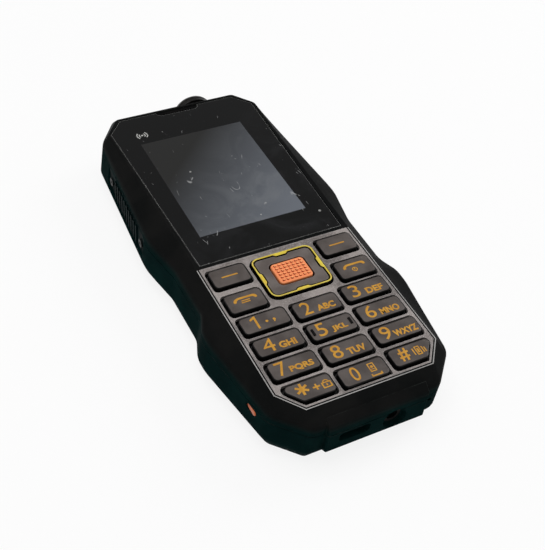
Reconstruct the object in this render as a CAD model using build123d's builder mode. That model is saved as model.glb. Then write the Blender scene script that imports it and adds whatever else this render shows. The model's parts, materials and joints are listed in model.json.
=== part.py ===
from build123d import *
import math
import os

os.makedirs("parts", exist_ok=True)

# Rugged keypad phone lying on its back: +Z out of the screen, +Y to the torch end,
# +X to the phone's right. The origin is under the middle of the whole phone.

# ---------------------------------------------------------------- overall sizes
body_length = 140.4        # bottom wall to top wall
body_width = 66.6          # across the side bulges
body_depth = 19.6          # back rails to the face of the keypad plate
port_ridge_out = 1.1       # ridge round the ports stands off the bottom wall
torch_out = 3.6            # torch head stands off the top wall

bottom_y = (port_ridge_out - torch_out - body_length) / 2
top_y = bottom_y + body_length

# ---------------------------------------------------------------- levels
front_z = body_depth
crease_drop = 3.2          # front face down to the crease of the side walls
seam_drop = 6.6            # front face down to the joint of the two case halves
taper_height = 5.1         # tapered back edge of the case
crease_z = front_z - crease_drop
seam_z = front_z - seam_drop
side_flare = 1.2           # side walls widen this much from crease to back edge
bottom_lean = 0.9          # bottom wall leans in towards the back
side_height = crease_z - taper_height
back_taper = 27            # degrees

# ---------------------------------------------------------------- case outline
bulge_half = body_width / 2 - side_flare
waist_in = 2.5             # waist is this much narrower than the bulges, each side
waist_half = bulge_half - waist_in
foot_in = 1.5              # foot and top corners are this much narrower than the waist
top_in = 0.7
foot_half = waist_half - foot_in
top_half = waist_half - top_in
bottom_corner_in = 8.5     # corners cut this much off the foot and the top
top_corner_in = 7.3
end_half_bottom = foot_half - bottom_corner_in
end_half_top = top_half - top_corner_in
bottom_corner_rise = 9.2   # distances from the bottom wall
lower_bulge_start = 37.4
lower_bulge_end = 42.2
waist_start = 48.3
waist_end = 67.0
upper_bulge_start = 80.4
upper_bulge_end = 84.0
top_corner_drop = 9.9      # from the top wall
wall = 2.2
slope_wall = 1.0           # cavity widens this far under the crease
rim_inset = 1.0
rear_floor_z = 4.4         # floor of the rear case round the battery bay

# ---------------------------------------------------------------- keypad layout
key_side_margin = 1.69     # outer keys to the edge of the plate
key_spacing = 2.21         # between the keys of a row
key_pitch_y = 8.62
key_height = 6.0
side_key_height = 7.0
side_key_margin = 1.48
side_key_gap = 2.17        # soft and call keys to the navigation key
keypad_start = 10.0        # bottom wall to the centre of the first key row
middle_key_dip = 0.58      # middle column sits a little lower
call_key_y = 34.7          # from the first key row
soft_key_y = 45.3
nav_y = 40.6
key_corner = 1.3
key_crown = 0.35           # rounded top edge of a key
key_stand = 0.9            # key top above the plate
key_gap = 0.2              # key to the edge of its window
key_flange = 0.45          # flange that holds a key under the plate
flange_room = 0.2          # flange to the case round it
key_flange_thick = 0.7
key_travel = 0.35
corner_clip = (4.0, 5.2)   # outer corner cut off the star and hash keys
nav_size = (19.9, 16.2)
nav_corner = 2.4
nav_rim = 1.0
nav_stand = 1.0
nav_gap = 0.35             # navigation key to its window
nav_face_stand = 0.7       # plate inside the rim
nav_rim_bevel = 0.3
nav_flange_thick = 0.55
nav_tab_half = 3.0
yoke_size = (17.0, 14.4)
yoke_hole = (12.6, 10.2)
yoke_thick = 0.25
yoke_pad_height = 0.25
yoke_pad_half = 1.5
yoke_gap = 0.1
nav_tilt_gap = 0.5         # flange to plate, so that the far side can rise
ok_size = (10.7, 8.1)
ok_corner = 1.2
ok_gap = 0.4
ok_drop = 2.75             # front face down to the bottom of the key
ok_flange = 0.65
ok_flange_thick = 0.25
ok_stand = 0.95
ok_rest_gap = 0.35         # key to the membrane under it
flange_gap = 0.15          # key flanges to the plate
key_rest_gap = 0.05        # left when a key is down

# ---------------------------------------------------------------- front pieces
plate_half = 24.9
plate_bottom_gap = 5.35    # bottom wall to the plate's bottom edge
plate_top = 61.3           # bottom wall to the plate's top edge
plate_corner = (5.65, 7.35)
plate_thick = 1.0
trim_width = 0.5
trim_stand = 0.12
trim_gap = 0.05
trim_bevel = 0.12
rim_width = 0.5            # case rim outside the plate
glass_bottom = 62.7        # bottom wall to the glass
glass_low_in = 1.0         # glass is this much narrower than the plate at its foot
glass_high_out = 1.1       # and this much wider at its top
glass_top_gap = 4.4        # glass to the top wall
glass_corner = (5.5, 6.0)
glass_thick = 1.0
glass_sink = 0.15
glass_bevel = 0.2
cut_over = 1.0             # how far a cut runs past an open end
fit_gap = 0.1              # clearance round pieces that drop into a recess
glass_rim = 0.9
ear_slot_half = 7.5
ear_slot_depth = 1.9
ear_gap = 0.15
ear_ledge = 1.0            # shelf left round the earpiece opening
ear_hole_radius = 0.3
ear_hole_pitch = 1.0
ear_hole_count = 13
ear_mesh_thick = 0.4
ledge = 0.85
shelf_thick = 1.2          # front wall behind plate and glass

# ---------------------------------------------------------------- display
lcd_side_gap = 2.55        # display to the edges of the glass
lcd_foot_gap = 4.6
lcd_head_gap = 8.9
lcd_thick = 1.8
lcd_gap = 0.2
lcd_sink = 0.2             # panel under the glass
backlight_corner = 1.0

# ---------------------------------------------------------------- boards
membrane_thick = 0.5
membrane_pad = (6.0, 3.4)
plunger_gap = 0.05
sheet_margin = 3.7         # keypad sheets reach below the first key row
sheet_clip = (5.0, 6.5)
nav_press_x = 7.4
nav_press_y = 6.1
plunger_radius = 1.4
dome_radius = 2.5
dome_height = 0.3
dome_taper = 60            # degrees
keypad_board_thick = 0.7
chassis_thick = 1.0
chassis_lift = 0.3         # chassis feet over the main board
chassis_window = (30.0, 12.0)
chassis_window_drop = 42.4  # from the top wall
main_board_thick = 1.0
sheet_gap = 0.3            # keypad sheets to the screw posts
board_gap = 0.5            # boards to the screw posts
board_margin = 4.5
board_clip = (5.5, 7.0)
board_drop = 6.7           # front face down to the top of the main board
standoff_inset = 2.6       # from the long edges of the main board
standoff_start = 30.0
standoff_end = 38.4        # from the top wall
standoff_radius = 1.2
shield_x = 9.75
shield_y = 52.0
shield_size = (16.0, 26.0)
shield_height = 1.5
shield_wall = 0.2
shield_gap = 0.3           # shields to the roof of the battery bay

# ---------------------------------------------------------------- battery and cover
bay_start = 22.0           # bottom wall to the battery bay
bay_end = 32.4             # battery bay to the top wall
card_room = 26.0           # bay length kept for the cards and contacts
cover_ledge = 1.7          # cover reaches this far past the bay's sides
bay_wall = 1.2
bay_floor_thick = 1.0
battery_gap = 0.2          # above and below
battery_end_gap = 0.4
battery_side_gap = 0.5
battery_corner = 1.5
contact_gap = 0.6
contact_block_size = (12.0, 2.4, 4.6)
contact_pitch = 3.4
contact_width = 1.4
contact_count = 3
contact_rise = 2.2
sim_size = (12.4, 15.2)
sim_x = 13.0
sim_height = 1.4
sim_wall = 0.2
memory_size = (11.6, 15.2)
card_margin = 3.0
cover_overlap = 2.5        # cover reaches past the bay
cover_thick = 2.2
cover_lift = 0.3           # cover rides clear of the surface the rails rest on
cover_gap = 0.3
tongue_out = 0.8
tongue_thick = 0.8
tongue_z = 1.2
tongue_margin = 16.0       # tongues start this far from the bottom end
tongue_end_gap = 3.0
thumb_groove = (18.0, 1.2)
thumb_groove_depth = 0.6
thumb_groove_pitch = 2.4
thumb_groove_count = 5
thumb_groove_start = 16.0
groove_gap = 0.2
groove_wall = 0.2          # cover grooves to the screw heads

# ---------------------------------------------------------------- fasteners
post_radius = 2.0
post_start = 24.0
post_middle = 57.0
post_end = 22.4            # from the top wall
post_relief = 0.8          # posts start this far under the front shelf
boss_radius = 2.8
screw_radius = 1.0
screw_hole_gap = 0.05
head_radius = 1.7
head_height = 1.2
head_seat = 4.0            # screw head seat above the back
driver_radius = 0.8
driver_depth = 0.7
screw_length = 10.0

# ---------------------------------------------------------------- ports and ends
usb_x = -7.2
usb_size = (7.6, 5.4, 2.6)
usb_wall = 0.3
usb_setback = 0.6          # shell behind the bottom wall
usb_tongue_setback = 0.8
usb_tongue_rise = 0.35
usb_tongue_size = (4.8, 0.7)
usb_mouth = (9.6, 3.4)
usb_mouth_corner = 1.2
jack_x = 5.4
jack_drop = 9.7            # front face down to the jack's axis
jack_bore_radius = 1.8
jack_body = (6.4, 12.0, 5.6)
jack_seat_gap = 0.2        # jack body to the inside of the bottom wall
jack_nose_setback = 0.5
jack_bore_length = 13.0
jack_room = 0.3            # board cut-out round the jack
jack_mouth_radius = 3.7
jack_nose_radius = 2.8
ridge_half = 15.6
ridge_root = 1.6           # ridge grows out of the slopes this far in
ridge_shoulder = 0.4
ridge_lift = 0.8
mouth_depth = 1.6
mic_x = 17.7
mic_drop = 9.5
mic_hole_radius = 0.6
mic_radius = 1.5
mic_length = 1.5
mic_setback = 0.7          # behind the inside of the bottom wall
torch_x = 9.0
torch_drop = 9.0
torch_head_radius = 7.3
torch_barrel_radius = 5.4
torch_barrel_length = 9.0
torch_hole_depth = 5.5
torch_wall = 0.8
torch_head_gap = 0.05      # head to the top wall
torch_head_bevel = 0.9
lens_radius = 5.2
lens_sink = 0.8
cup_wall = 0.3
cup_depth = 6.0
cup_taper = 24             # degrees
led_radius = 1.3
led_height = 1.0
led_board_thick = 1.0
lens_thick = 1.0
speaker_x = -12.0
speaker_rise = 14.0        # battery bay to the loudspeaker
speaker_size = (16.0, 11.0, 3.4)
speaker_z = 2.2
sound_slot = (8.0, 1.0)
sound_slot_pitch = 2.4
sound_slot_count = 5
camera_x = 10.0
camera_rise = 11.0
camera_size = (8.6, 8.6, 4.6)
camera_barrel_radius = 2.6
camera_window_radius = 3.8
camera_window_seat = 1.2
camera_window_thick = 0.9
earpiece_size = (12.0, 6.0, 1.8)
earpiece_corner = 1.0
motor_x = -21.0
motor_rise = 4.6
motor_radius = 2.0
motor_length = 10.0
antenna_x = 8.0
antenna_size = (20.0, 6.0)
antenna_lift = 0.6
antenna_thick = 0.3
side_button_y = 16.3       # from the bottom wall
side_button_drop = 8.7
side_button_size = (4.4, 1.8)
side_button_travel = 0.5
button_window_end = 20.0   # the window is cut this far towards the middle
button_sink = 0.4          # button face behind the wall
button_play = 0.6          # flange to the inside of the slanted wall
button_flange = 0.5
button_flange_thick = 0.6
button_crown = 0.3
switch_size = (4.2, 4.4, 2.0)
switch_plunger = 0.5
switch_plunger_radius = 0.7
grip_foot_gap = 0.8        # upper bulge to the grip
grip_end = 19.0            # grip to the top wall
grip_height = 8.4
grip_drop = 9.9
grip_sink = 1.5            # pocket depth in the side wall
grip_thick = 0.9
grip_corner = 1.6
rib_pitch = 2.4
rib_width = 1.2
rib_height = 0.5
rib_inset = 0.7
grip_plain_end = 6.5       # no ribs this near the ends
grip_screw_margin = 3.0
grip_screw_radius = 0.8
grip_head_radius = 1.4
grip_head_height = 0.5
grip_screw_length = 1.7
grip_hole_spare = 0.2
grip_driver_radius = 0.6


def along(distance):
    """Y of a point this far up from the bottom wall."""
    return bottom_y + distance


def both_sides(right_side):
    """Close a right-hand outline with its mirror image across X."""
    return right_side + [(-x, y) for x, y in reversed(right_side)]


def grown(points, amount):
    """Draw an outline in the current sketch, grown or shrunk evenly."""
    Polygon(*points, align=None)
    offset(amount=amount, kind=Kind.INTERSECTION)


def write(piece, name):
    """Label one finished piece and write its file."""
    piece.part.label = name
    export_step(piece.part, f"parts/{name}.step")


# ================================================================ case
crease_side = [
    (end_half_bottom, bottom_y),
    (foot_half, along(bottom_corner_rise)),
    (bulge_half, along(lower_bulge_start)),
    (bulge_half, along(lower_bulge_end)),
    (waist_half, along(waist_start)),
    (waist_half, along(waist_end)),
    (bulge_half, along(upper_bulge_start)),
    (bulge_half, along(upper_bulge_end)),
    (top_half, top_y - top_corner_drop),
    (end_half_top, top_y),
]
skirt_side = [(x + bottom_lean / 2, y + bottom_lean) for x, y in crease_side[:2]]
skirt_side += [(x + side_flare, y) for x, y in crease_side[2:9]]
skirt_side += [(end_half_top + side_flare / 2, top_y)]
glass_low_y = along(glass_bottom)
glass_high_y = top_y - glass_top_gap
glass_half_low = plate_half - glass_low_in
glass_half_high = plate_half + glass_high_out
rim_half = plate_half + rim_width
rim_high = glass_half_high + glass_rim
rim_bottom_y = along(plate_bottom_gap - rim_width)
rim_corner_y = glass_high_y - glass_corner[1]


def rim_x(y):
    """Half-width of the front rim, which widens beside the glass."""
    slope = (rim_high - rim_half) / (rim_corner_y - glass_low_y)
    return rim_half + max(0, y - glass_low_y) * slope


# posts stand against the side walls, and what lies between them follows;
# the keypad sheets also fit inside the rim
post_x = waist_half - wall - post_radius - fit_gap
post_rows = (post_start, post_middle, body_length - post_end)
post_places = [(side * post_x, along(y)) for y in post_rows for side in (-1, 1)]
inner_half = min(post_x - post_radius, rim_half - rim_inset) - sheet_gap
board_half = post_x - post_radius - board_gap
standoff_x = board_half - standoff_inset
standoff_last = body_length - standoff_end
standoff_rows = (standoff_start, (standoff_start + standoff_last) / 2, standoff_last)
standoffs = [(side * standoff_x, along(y)) for y in standoff_rows for side in (-1, 1)]
cover_half = post_x - head_radius - fit_gap - groove_wall - cover_gap - tongue_out
bay_half = cover_half - cover_ledge

rim_side = [(rim_half - plate_corner[0], rim_bottom_y)]
rim_side += [(rim_half, rim_bottom_y + plate_corner[1])]
rim_side += [(rim_x(y), y) for x, y in crease_side[2:8]]
rim_side += [(rim_high, rim_corner_y), (rim_high - glass_corner[0], glass_high_y + glass_rim)]

rim_outline = both_sides(rim_side)
crease_outline = both_sides(crease_side)
skirt_outline = both_sides(skirt_side)

ridge_low_z = taper_height + ridge_lift
ridge_profile = [
    (bottom_y + ridge_root, front_z - ridge_root),
    (bottom_y - port_ridge_out, crease_z - ridge_shoulder),
    (bottom_y - port_ridge_out, ridge_low_z),
    (bottom_y + ridge_root, ridge_low_z - ridge_root),
]
board_z = front_z - board_drop - main_board_thick
usb_z = board_z - usb_size[2] / 2
button_z = front_z - side_button_drop
jack_z = front_z - jack_drop
torch_z = front_z - torch_drop
mic_z = front_z - mic_drop
ridge_face = Plane(origin=(0, bottom_y - port_ridge_out, 0), x_dir=(1, 0, 0), z_dir=(0, -1, 0))
bottom_face = Plane(origin=(0, bottom_y, 0), x_dir=(1, 0, 0), z_dir=(0, -1, 0))
top_face = Plane(origin=(0, top_y, 0), x_dir=(-1, 0, 0), z_dir=(0, 1, 0))

# the side button sits in the slanted wall between the foot and the lower bulge
foot_slope = (bulge_half - foot_half) / (lower_bulge_start - bottom_corner_rise)
button_crease_x = foot_half + foot_slope * (side_button_y - bottom_corner_rise)
button_flare = side_flare * (side_button_drop - crease_drop) / side_height
button_face_x = button_crease_x + button_flare - button_sink
button_flange_x = button_crease_x - wall - button_play

# the grips lie on the long side walls between the upper bulge and the top corner
grip_flare = side_flare * (grip_drop - crease_drop) / side_height
grip_lean = math.atan((bulge_half - top_half) / (body_length - top_corner_drop - upper_bulge_end))
grip_start = upper_bulge_end + grip_foot_gap
grip_length = body_length - grip_end - grip_start
grip_middle = grip_start + grip_length / 2
screw_reach = grip_length / 2 - grip_screw_margin
grip_x = bulge_half + grip_flare - (grip_middle - upper_bulge_end) * math.tan(grip_lean)


def grip_plane(side):
    """Plane of one side wall at the middle of its grip, facing outwards."""
    return Plane(
        origin=(side * grip_x, along(grip_middle), front_z - grip_drop),
        x_dir=(-side * math.sin(grip_lean), math.cos(grip_lean), 0),
        z_dir=(side * math.cos(grip_lean), math.sin(grip_lean), 0),
    )


with BuildPart() as envelope:
    with BuildSketch(Plane.XY.offset(front_z)):
        Polygon(*rim_outline, align=None)
    with BuildSketch(Plane.XY.offset(crease_z)):
        Polygon(*crease_outline, align=None)
    loft(ruled=True)
    with BuildSketch(Plane.XY.offset(crease_z)):
        Polygon(*crease_outline, align=None)
    with BuildSketch(Plane.XY.offset(taper_height)):
        Polygon(*skirt_outline, align=None)
    loft(ruled=True)
    with BuildSketch(Plane.XY.offset(taper_height)):
        Polygon(*skirt_outline, align=None)
    extrude(amount=-taper_height, taper=back_taper)
    with BuildSketch(Plane.YZ):
        Polygon(*ridge_profile, align=None)
    extrude(amount=ridge_half, both=True)

    # openings at the bottom end
    with BuildSketch(ridge_face):
        with Locations((usb_x, usb_z)):
            RectangleRounded(*usb_mouth, usb_mouth_corner)
        with Locations((jack_x, jack_z)):
            Circle(jack_mouth_radius)
    extrude(amount=-mouth_depth, mode=Mode.SUBTRACT)
    with BuildSketch(bottom_face):
        with Locations((usb_x, usb_z)):
            Rectangle(usb_size[0] + 2 * fit_gap, usb_size[2] + 2 * fit_gap)
        with Locations((jack_x, jack_z)):
            Circle(jack_nose_radius + fit_gap)
        with Locations((mic_x, mic_z)):
            Circle(mic_hole_radius)
    extrude(amount=-2 * wall, mode=Mode.SUBTRACT)

    # torch barrel and side grips
    with BuildSketch(top_face):
        with Locations((-torch_x, torch_z)):
            Circle(torch_barrel_radius + fit_gap)
    extrude(amount=-torch_hole_depth, mode=Mode.SUBTRACT)
    for side in (-1, 1):
        with BuildSketch(grip_plane(side).offset(-grip_sink)):
            RectangleRounded(grip_length + 2 * fit_gap, grip_height + 2 * fit_gap, grip_corner)
        extrude(amount=2 * grip_sink, mode=Mode.SUBTRACT)
        with BuildSketch(grip_plane(side).offset(-grip_sink)):
            with GridLocations(2 * screw_reach, 0, 2, 1):
                Circle(grip_screw_radius + screw_hole_gap)
        extrude(amount=grip_thick - grip_screw_length - grip_hole_spare, mode=Mode.SUBTRACT)

plate_high_y = along(plate_top)
plate_outline = both_sides([
    (plate_half - plate_corner[0], along(plate_bottom_gap)),
    (plate_half, along(plate_bottom_gap) + plate_corner[1]),
    (plate_half, plate_high_y),
])
glass_outline = both_sides([
    (glass_half_low, glass_low_y),
    (glass_half_high, rim_corner_y),
    (glass_half_high - glass_corner[0], glass_high_y),
])
shelf_z = front_z - plate_thick - shelf_thick
glass_seat_z = front_z - glass_sink - glass_thick
lcd_low_y = glass_low_y + lcd_foot_gap
lcd_size = (2 * (glass_half_low - lcd_side_gap), glass_high_y - lcd_head_gap - lcd_low_y)
lcd_middle = (0, lcd_low_y + lcd_size[1] / 2)
bay_low_y = along(bay_start)
bay_high_y = top_y - bay_end
bay_length = bay_high_y - bay_low_y
boss_top_z = board_z - shield_height - shield_gap
bay_floor_z = boss_top_z - bay_floor_thick

# the battery's end of the bay is deep, the cards' end is shallow
battery_low_y = bay_low_y + battery_end_gap
battery_high_y = bay_high_y - card_room
block_y = battery_high_y + contact_gap
deep_high_y = block_y + contact_block_size[1]
slot_top_z = cover_lift + cover_thick + cover_gap / 2
card_roof_z = slot_top_z + sim_height

# ---------------------------------------------------------------- key places
first_row_y = along(keypad_start)
key_width = (2 * (plate_half - key_side_margin) - 2 * key_spacing) / 3
key_pitch_x = key_width + key_spacing
side_key_width = plate_half - side_key_margin - nav_size[0] / 2 - side_key_gap
side_key_size = (side_key_width, side_key_height)
side_key_x = plate_half - side_key_margin - side_key_width / 2
digit_rows = [
    ("star", "zero", "hash"),
    ("seven", "eight", "nine"),
    ("four", "five", "six"),
    ("one", "two", "three"),
]
keys = {}
for row, names in enumerate(digit_rows):
    for column, name in enumerate(names):
        dip = middle_key_dip if column == 1 else 0
        place = ((column - 1) * key_pitch_x, first_row_y + row * key_pitch_y - dip)
        keys[f"key_{name}"] = (place, (key_width, key_height))
for side, soft, call in ((-1, "key_soft_left", "key_call"), (1, "key_soft_right", "key_end")):
    keys[soft] = ((side * side_key_x, first_row_y + soft_key_y), side_key_size)
    keys[call] = ((side * side_key_x, first_row_y + call_key_y), side_key_size)
clipped = {"key_star": -1, "key_hash": 1}
nav_place = (0, first_row_y + nav_y)


def key_plan(name, size, grow):
    """Draw one key's plan in the current sketch, grown evenly."""
    half_x, half_y = size[0] / 2, size[1] / 2
    corners = [(half_x, half_y), (-half_x, half_y), (-half_x, -half_y), (half_x, -half_y)]
    if name in clipped:
        side = clipped[name]
        corners = [
            (side * half_x, half_y),
            (-side * half_x, half_y),
            (-side * half_x, -half_y),
            (side * (half_x - corner_clip[0]), -half_y),
            (side * half_x, corner_clip[1] - half_y),
        ]
    Polygon(*corners, align=None)
    offset(amount=-key_corner, kind=Kind.INTERSECTION)
    offset(amount=key_corner + grow)


with BuildPart() as front_case:
    add(envelope.part)
    split(bisect_by=Plane.XY.offset(seam_z), keep=Keep.TOP)
    with BuildSketch(Plane.XY.offset(front_z)):
        grown(plate_outline, fit_gap)
    extrude(amount=-plate_thick, mode=Mode.SUBTRACT)
    with BuildSketch(Plane.XY.offset(front_z)):
        grown(glass_outline, fit_gap)
    extrude(amount=glass_seat_z - front_z, mode=Mode.SUBTRACT)
    with BuildSketch(Plane.XY.offset(front_z)):
        grown(plate_outline, -ledge)
        with Locations(lcd_middle):
            Rectangle(lcd_size[0] + 2 * lcd_gap, lcd_size[1] + 2 * lcd_gap)
        with Locations((0, glass_high_y - ear_slot_depth / 2)):
            SlotOverall(2 * (ear_slot_half - ear_ledge), ear_slot_depth - ear_ledge)
    extrude(amount=shelf_z - front_z, mode=Mode.SUBTRACT)
    for name, (place, size) in keys.items():
        with BuildSketch(Plane(origin=(*place, front_z - plate_thick))):
            key_plan(name, size, key_flange + flange_room)
        extrude(amount=-shelf_thick, mode=Mode.SUBTRACT)
    with BuildSketch(Plane.XY.offset(shelf_z)):
        grown(rim_outline, -rim_inset)
    extrude(amount=seam_z - shelf_z, mode=Mode.SUBTRACT)
    with BuildSketch(Plane.XY.offset(crease_z - slope_wall)):
        grown(crease_outline, -wall)
    extrude(amount=seam_z - crease_z + slope_wall, mode=Mode.SUBTRACT)
    with BuildSketch(Plane.XY.offset(shelf_z - post_relief)):
        with Locations(*post_places):
            Circle(post_radius)
    extrude(amount=boss_top_z - shelf_z + post_relief)
    with BuildSketch(Plane.XY.offset(boss_top_z)):
        with Locations(*post_places):
            Circle(screw_radius + screw_hole_gap)
    extrude(amount=head_seat + screw_length + cut_over - boss_top_z, mode=Mode.SUBTRACT)
write(front_case, "front_case")

# ---------------------------------------------------------------- rear case
cover_high_y = bay_high_y + cover_overlap
slot_half = cover_half + cover_gap
speaker_y = bay_high_y + speaker_rise
camera_y = bay_high_y + camera_rise
bay_box_half = bay_half + bay_wall

with BuildPart() as rear_case:
    add(envelope.part)
    split(bisect_by=Plane.XY.offset(seam_z), keep=Keep.BOTTOM)
    with BuildSketch(Plane.XY.offset(seam_z)):
        grown(crease_outline, -wall)
    extrude(amount=rear_floor_z - seam_z, mode=Mode.SUBTRACT)
    with BuildSketch(Plane.XY.offset(rear_floor_z)):
        with Locations((0, bay_low_y - bay_wall)):
            Rectangle(2 * bay_box_half, deep_high_y - bay_low_y + 2 * bay_wall,
                      align=(Align.CENTER, Align.MIN))
        with Locations(*post_places):
            Circle(boss_radius)
    extrude(amount=boss_top_z - rear_floor_z)
    with BuildSketch(Plane.XY.offset(rear_floor_z)):
        with Locations((0, bay_low_y - bay_wall)):
            Rectangle(2 * bay_box_half, bay_length + 2 * bay_wall,
                      align=(Align.CENTER, Align.MIN))
    extrude(amount=card_roof_z + bay_floor_thick - rear_floor_z)

    # battery bay, cover slot and the grooves of its tongues
    with BuildSketch(Plane.XY):
        with Locations((0, bay_low_y)):
            Rectangle(2 * bay_half, deep_high_y - bay_low_y, align=(Align.CENTER, Align.MIN))
    extrude(amount=bay_floor_z, mode=Mode.SUBTRACT)
    with BuildSketch(Plane.XY):
        with Locations((0, bay_low_y)):
            Rectangle(2 * bay_half, bay_length, align=(Align.CENTER, Align.MIN))
    extrude(amount=card_roof_z, mode=Mode.SUBTRACT)
    slot_length = cover_high_y + cover_gap - bottom_y + cut_over
    with BuildSketch(Plane.XY):
        with Locations((0, bottom_y - cut_over)):
            Rectangle(2 * slot_half, slot_length, align=(Align.CENTER, Align.MIN))
    extrude(amount=slot_top_z, mode=Mode.SUBTRACT)
    with BuildSketch(Plane.XY.offset(tongue_z - groove_gap)):
        with Locations((0, bottom_y - cut_over)):
            Rectangle(2 * (cover_half + tongue_out + cover_gap), slot_length,
                      align=(Align.CENTER, Align.MIN))
    extrude(amount=tongue_thick + 2 * groove_gap, mode=Mode.SUBTRACT)

    # main board standoffs
    with BuildSketch(Plane.XY.offset(boss_top_z)):
        with Locations(*standoffs):
            Circle(standoff_radius)
    extrude(amount=board_z - boss_top_z)

    # case screws from the back
    with BuildSketch(Plane.XY):
        with Locations(*post_places):
            Circle(head_radius + fit_gap)
    extrude(amount=head_seat, mode=Mode.SUBTRACT)
    with BuildSketch(Plane.XY):
        with Locations(*post_places):
            Circle(screw_radius + fit_gap)
    extrude(amount=boss_top_z, mode=Mode.SUBTRACT)

    # loudspeaker pocket and slots, camera pocket and windows
    with BuildSketch(Plane.XY.offset(speaker_z)):
        with Locations((speaker_x, speaker_y)):
            Rectangle(speaker_size[0] + 2 * fit_gap, speaker_size[1] + 2 * fit_gap)
        with Locations((camera_x, camera_y)):
            Rectangle(camera_size[0] + 2 * fit_gap, camera_size[1] + 2 * fit_gap)
    extrude(amount=rear_floor_z - speaker_z, mode=Mode.SUBTRACT)
    with BuildSketch(Plane.XY):
        with Locations((speaker_x, speaker_y)):
            with GridLocations(sound_slot_pitch, 0, sound_slot_count, 1):
                SlotOverall(sound_slot[0], sound_slot[1], rotation=90)
        with Locations((camera_x, camera_y)):
            Circle(camera_barrel_radius + fit_gap)
    extrude(amount=speaker_z, mode=Mode.SUBTRACT)
    with BuildSketch(Plane.XY):
        with Locations((camera_x, camera_y)):
            Circle(camera_window_radius + fit_gap)
    extrude(amount=camera_window_seat, mode=Mode.SUBTRACT)

    # side button window
    with BuildSketch(Plane.YZ.offset(-body_width / 2)):
        with Locations((along(side_button_y), button_z)):
            SlotOverall(side_button_size[0] + 2 * key_gap, side_button_size[1] + 2 * key_gap)
    extrude(amount=body_width / 2 - button_window_end, mode=Mode.SUBTRACT)
write(rear_case, "rear_case")

# ================================================================ battery cover
tongue_low_y = bottom_y + tongue_margin
tongue_length = cover_high_y - tongue_end_gap - tongue_low_y

with BuildPart() as battery_cover:
    add(envelope.part)
    with BuildSketch(Plane.XY.offset(cover_lift)):
        with Locations((0, cover_high_y)):
            Rectangle(2 * cover_half, 2 * body_length, align=(Align.CENTER, Align.MAX))
    extrude(amount=cover_thick, mode=Mode.INTERSECT)
    with BuildSketch(Plane.XY.offset(tongue_z)):
        with Locations((0, tongue_low_y)):
            Rectangle(2 * (cover_half + tongue_out), tongue_length,
                      align=(Align.CENTER, Align.MIN))
    extrude(amount=tongue_thick)
    with BuildSketch(Plane.XY.offset(cover_lift)):
        with Locations((0, along(thumb_groove_start))):
            with GridLocations(0, thumb_groove_pitch, 1, thumb_groove_count):
                SlotOverall(*thumb_groove)
    extrude(amount=thumb_groove_depth, mode=Mode.SUBTRACT)
write(battery_cover, "battery_cover")

# ---------------------------------------------------------------- case screws
with BuildPart() as case_screws:
    with BuildSketch(Plane.XY.offset(head_seat - head_height)):
        with Locations(*post_places):
            Circle(head_radius)
    extrude(amount=head_height)
    with BuildSketch(Plane.XY.offset(head_seat)):
        with Locations(*post_places):
            Circle(screw_radius)
    extrude(amount=screw_length)
    with BuildSketch(Plane.XY.offset(head_seat - head_height)):
        with Locations(*post_places):
            RegularPolygon(driver_radius, 6)
    extrude(amount=driver_depth, mode=Mode.SUBTRACT)
write(case_screws, "case_screws")

# ================================================================ front face
with BuildPart() as screen_window:
    with BuildSketch(Plane.XY.offset(glass_seat_z)):
        Polygon(*glass_outline, align=None)
        with Locations((0, glass_high_y)):
            SlotOverall(2 * ear_slot_half, 2 * ear_slot_depth, mode=Mode.SUBTRACT)
    extrude(amount=glass_thick)
    chamfer(screen_window.faces().sort_by(Axis.Z)[-1].edges(), length=glass_bevel)
write(screen_window, "screen_window")

with BuildPart() as earpiece_grille:
    with BuildSketch(Plane.XY.offset(glass_seat_z)):
        with Locations((0, glass_high_y)):
            SlotOverall(2 * (ear_slot_half - ear_gap), 2 * (ear_slot_depth - ear_gap))
            Rectangle(2 * ear_slot_half, ear_slot_depth, align=(Align.CENTER, Align.MIN),
                      mode=Mode.SUBTRACT)
        with Locations((0, glass_high_y - ear_slot_depth / 2)):
            with GridLocations(ear_hole_pitch, 0, ear_hole_count, 1):
                Circle(ear_hole_radius, mode=Mode.SUBTRACT)
    extrude(amount=ear_mesh_thick)
write(earpiece_grille, "earpiece_grille")

with BuildPart() as plate_trim:
    with BuildSketch(Plane.XY.offset(front_z - plate_thick)):
        Polygon(*plate_outline, align=None)
        with BuildSketch(Plane.XY, mode=Mode.PRIVATE) as trim_inside:
            grown(plate_outline, -trim_width)
        add(trim_inside.sketch, mode=Mode.SUBTRACT)
        with Locations((0, plate_high_y)):
            Rectangle(2 * (plate_half - trim_width), 3 * trim_width, mode=Mode.SUBTRACT)
    extrude(amount=plate_thick + trim_stand)
    chamfer(plate_trim.faces().sort_by(Axis.Z)[-1].edges(), length=trim_bevel)
write(plate_trim, "plate_trim")

with BuildPart() as keypad_plate:
    with BuildSketch(Plane.XY.offset(front_z - plate_thick)):
        grown(plate_outline, -trim_width - trim_gap)
        with Locations((0, plate_high_y)):
            Rectangle(2 * (plate_half - trim_width - trim_gap), 2 * (trim_width + trim_gap))
        with Locations((0, plate_high_y)):
            Rectangle(2 * plate_half, 2 * (trim_width + trim_gap),
                      align=(Align.CENTER, Align.MIN), mode=Mode.SUBTRACT)
    extrude(amount=plate_thick)
    for name, (place, size) in keys.items():
        with BuildSketch(Plane(origin=(*place, front_z))):
            key_plan(name, size, key_gap)
        extrude(amount=-plate_thick, mode=Mode.SUBTRACT)
    with BuildSketch(Plane(origin=(*nav_place, front_z))):
        RectangleRounded(nav_size[0] + 2 * nav_gap, nav_size[1] + 2 * nav_gap,
                         nav_corner + nav_gap)
    extrude(amount=-plate_thick, mode=Mode.SUBTRACT)
write(keypad_plate, "keypad_plate")

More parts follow.
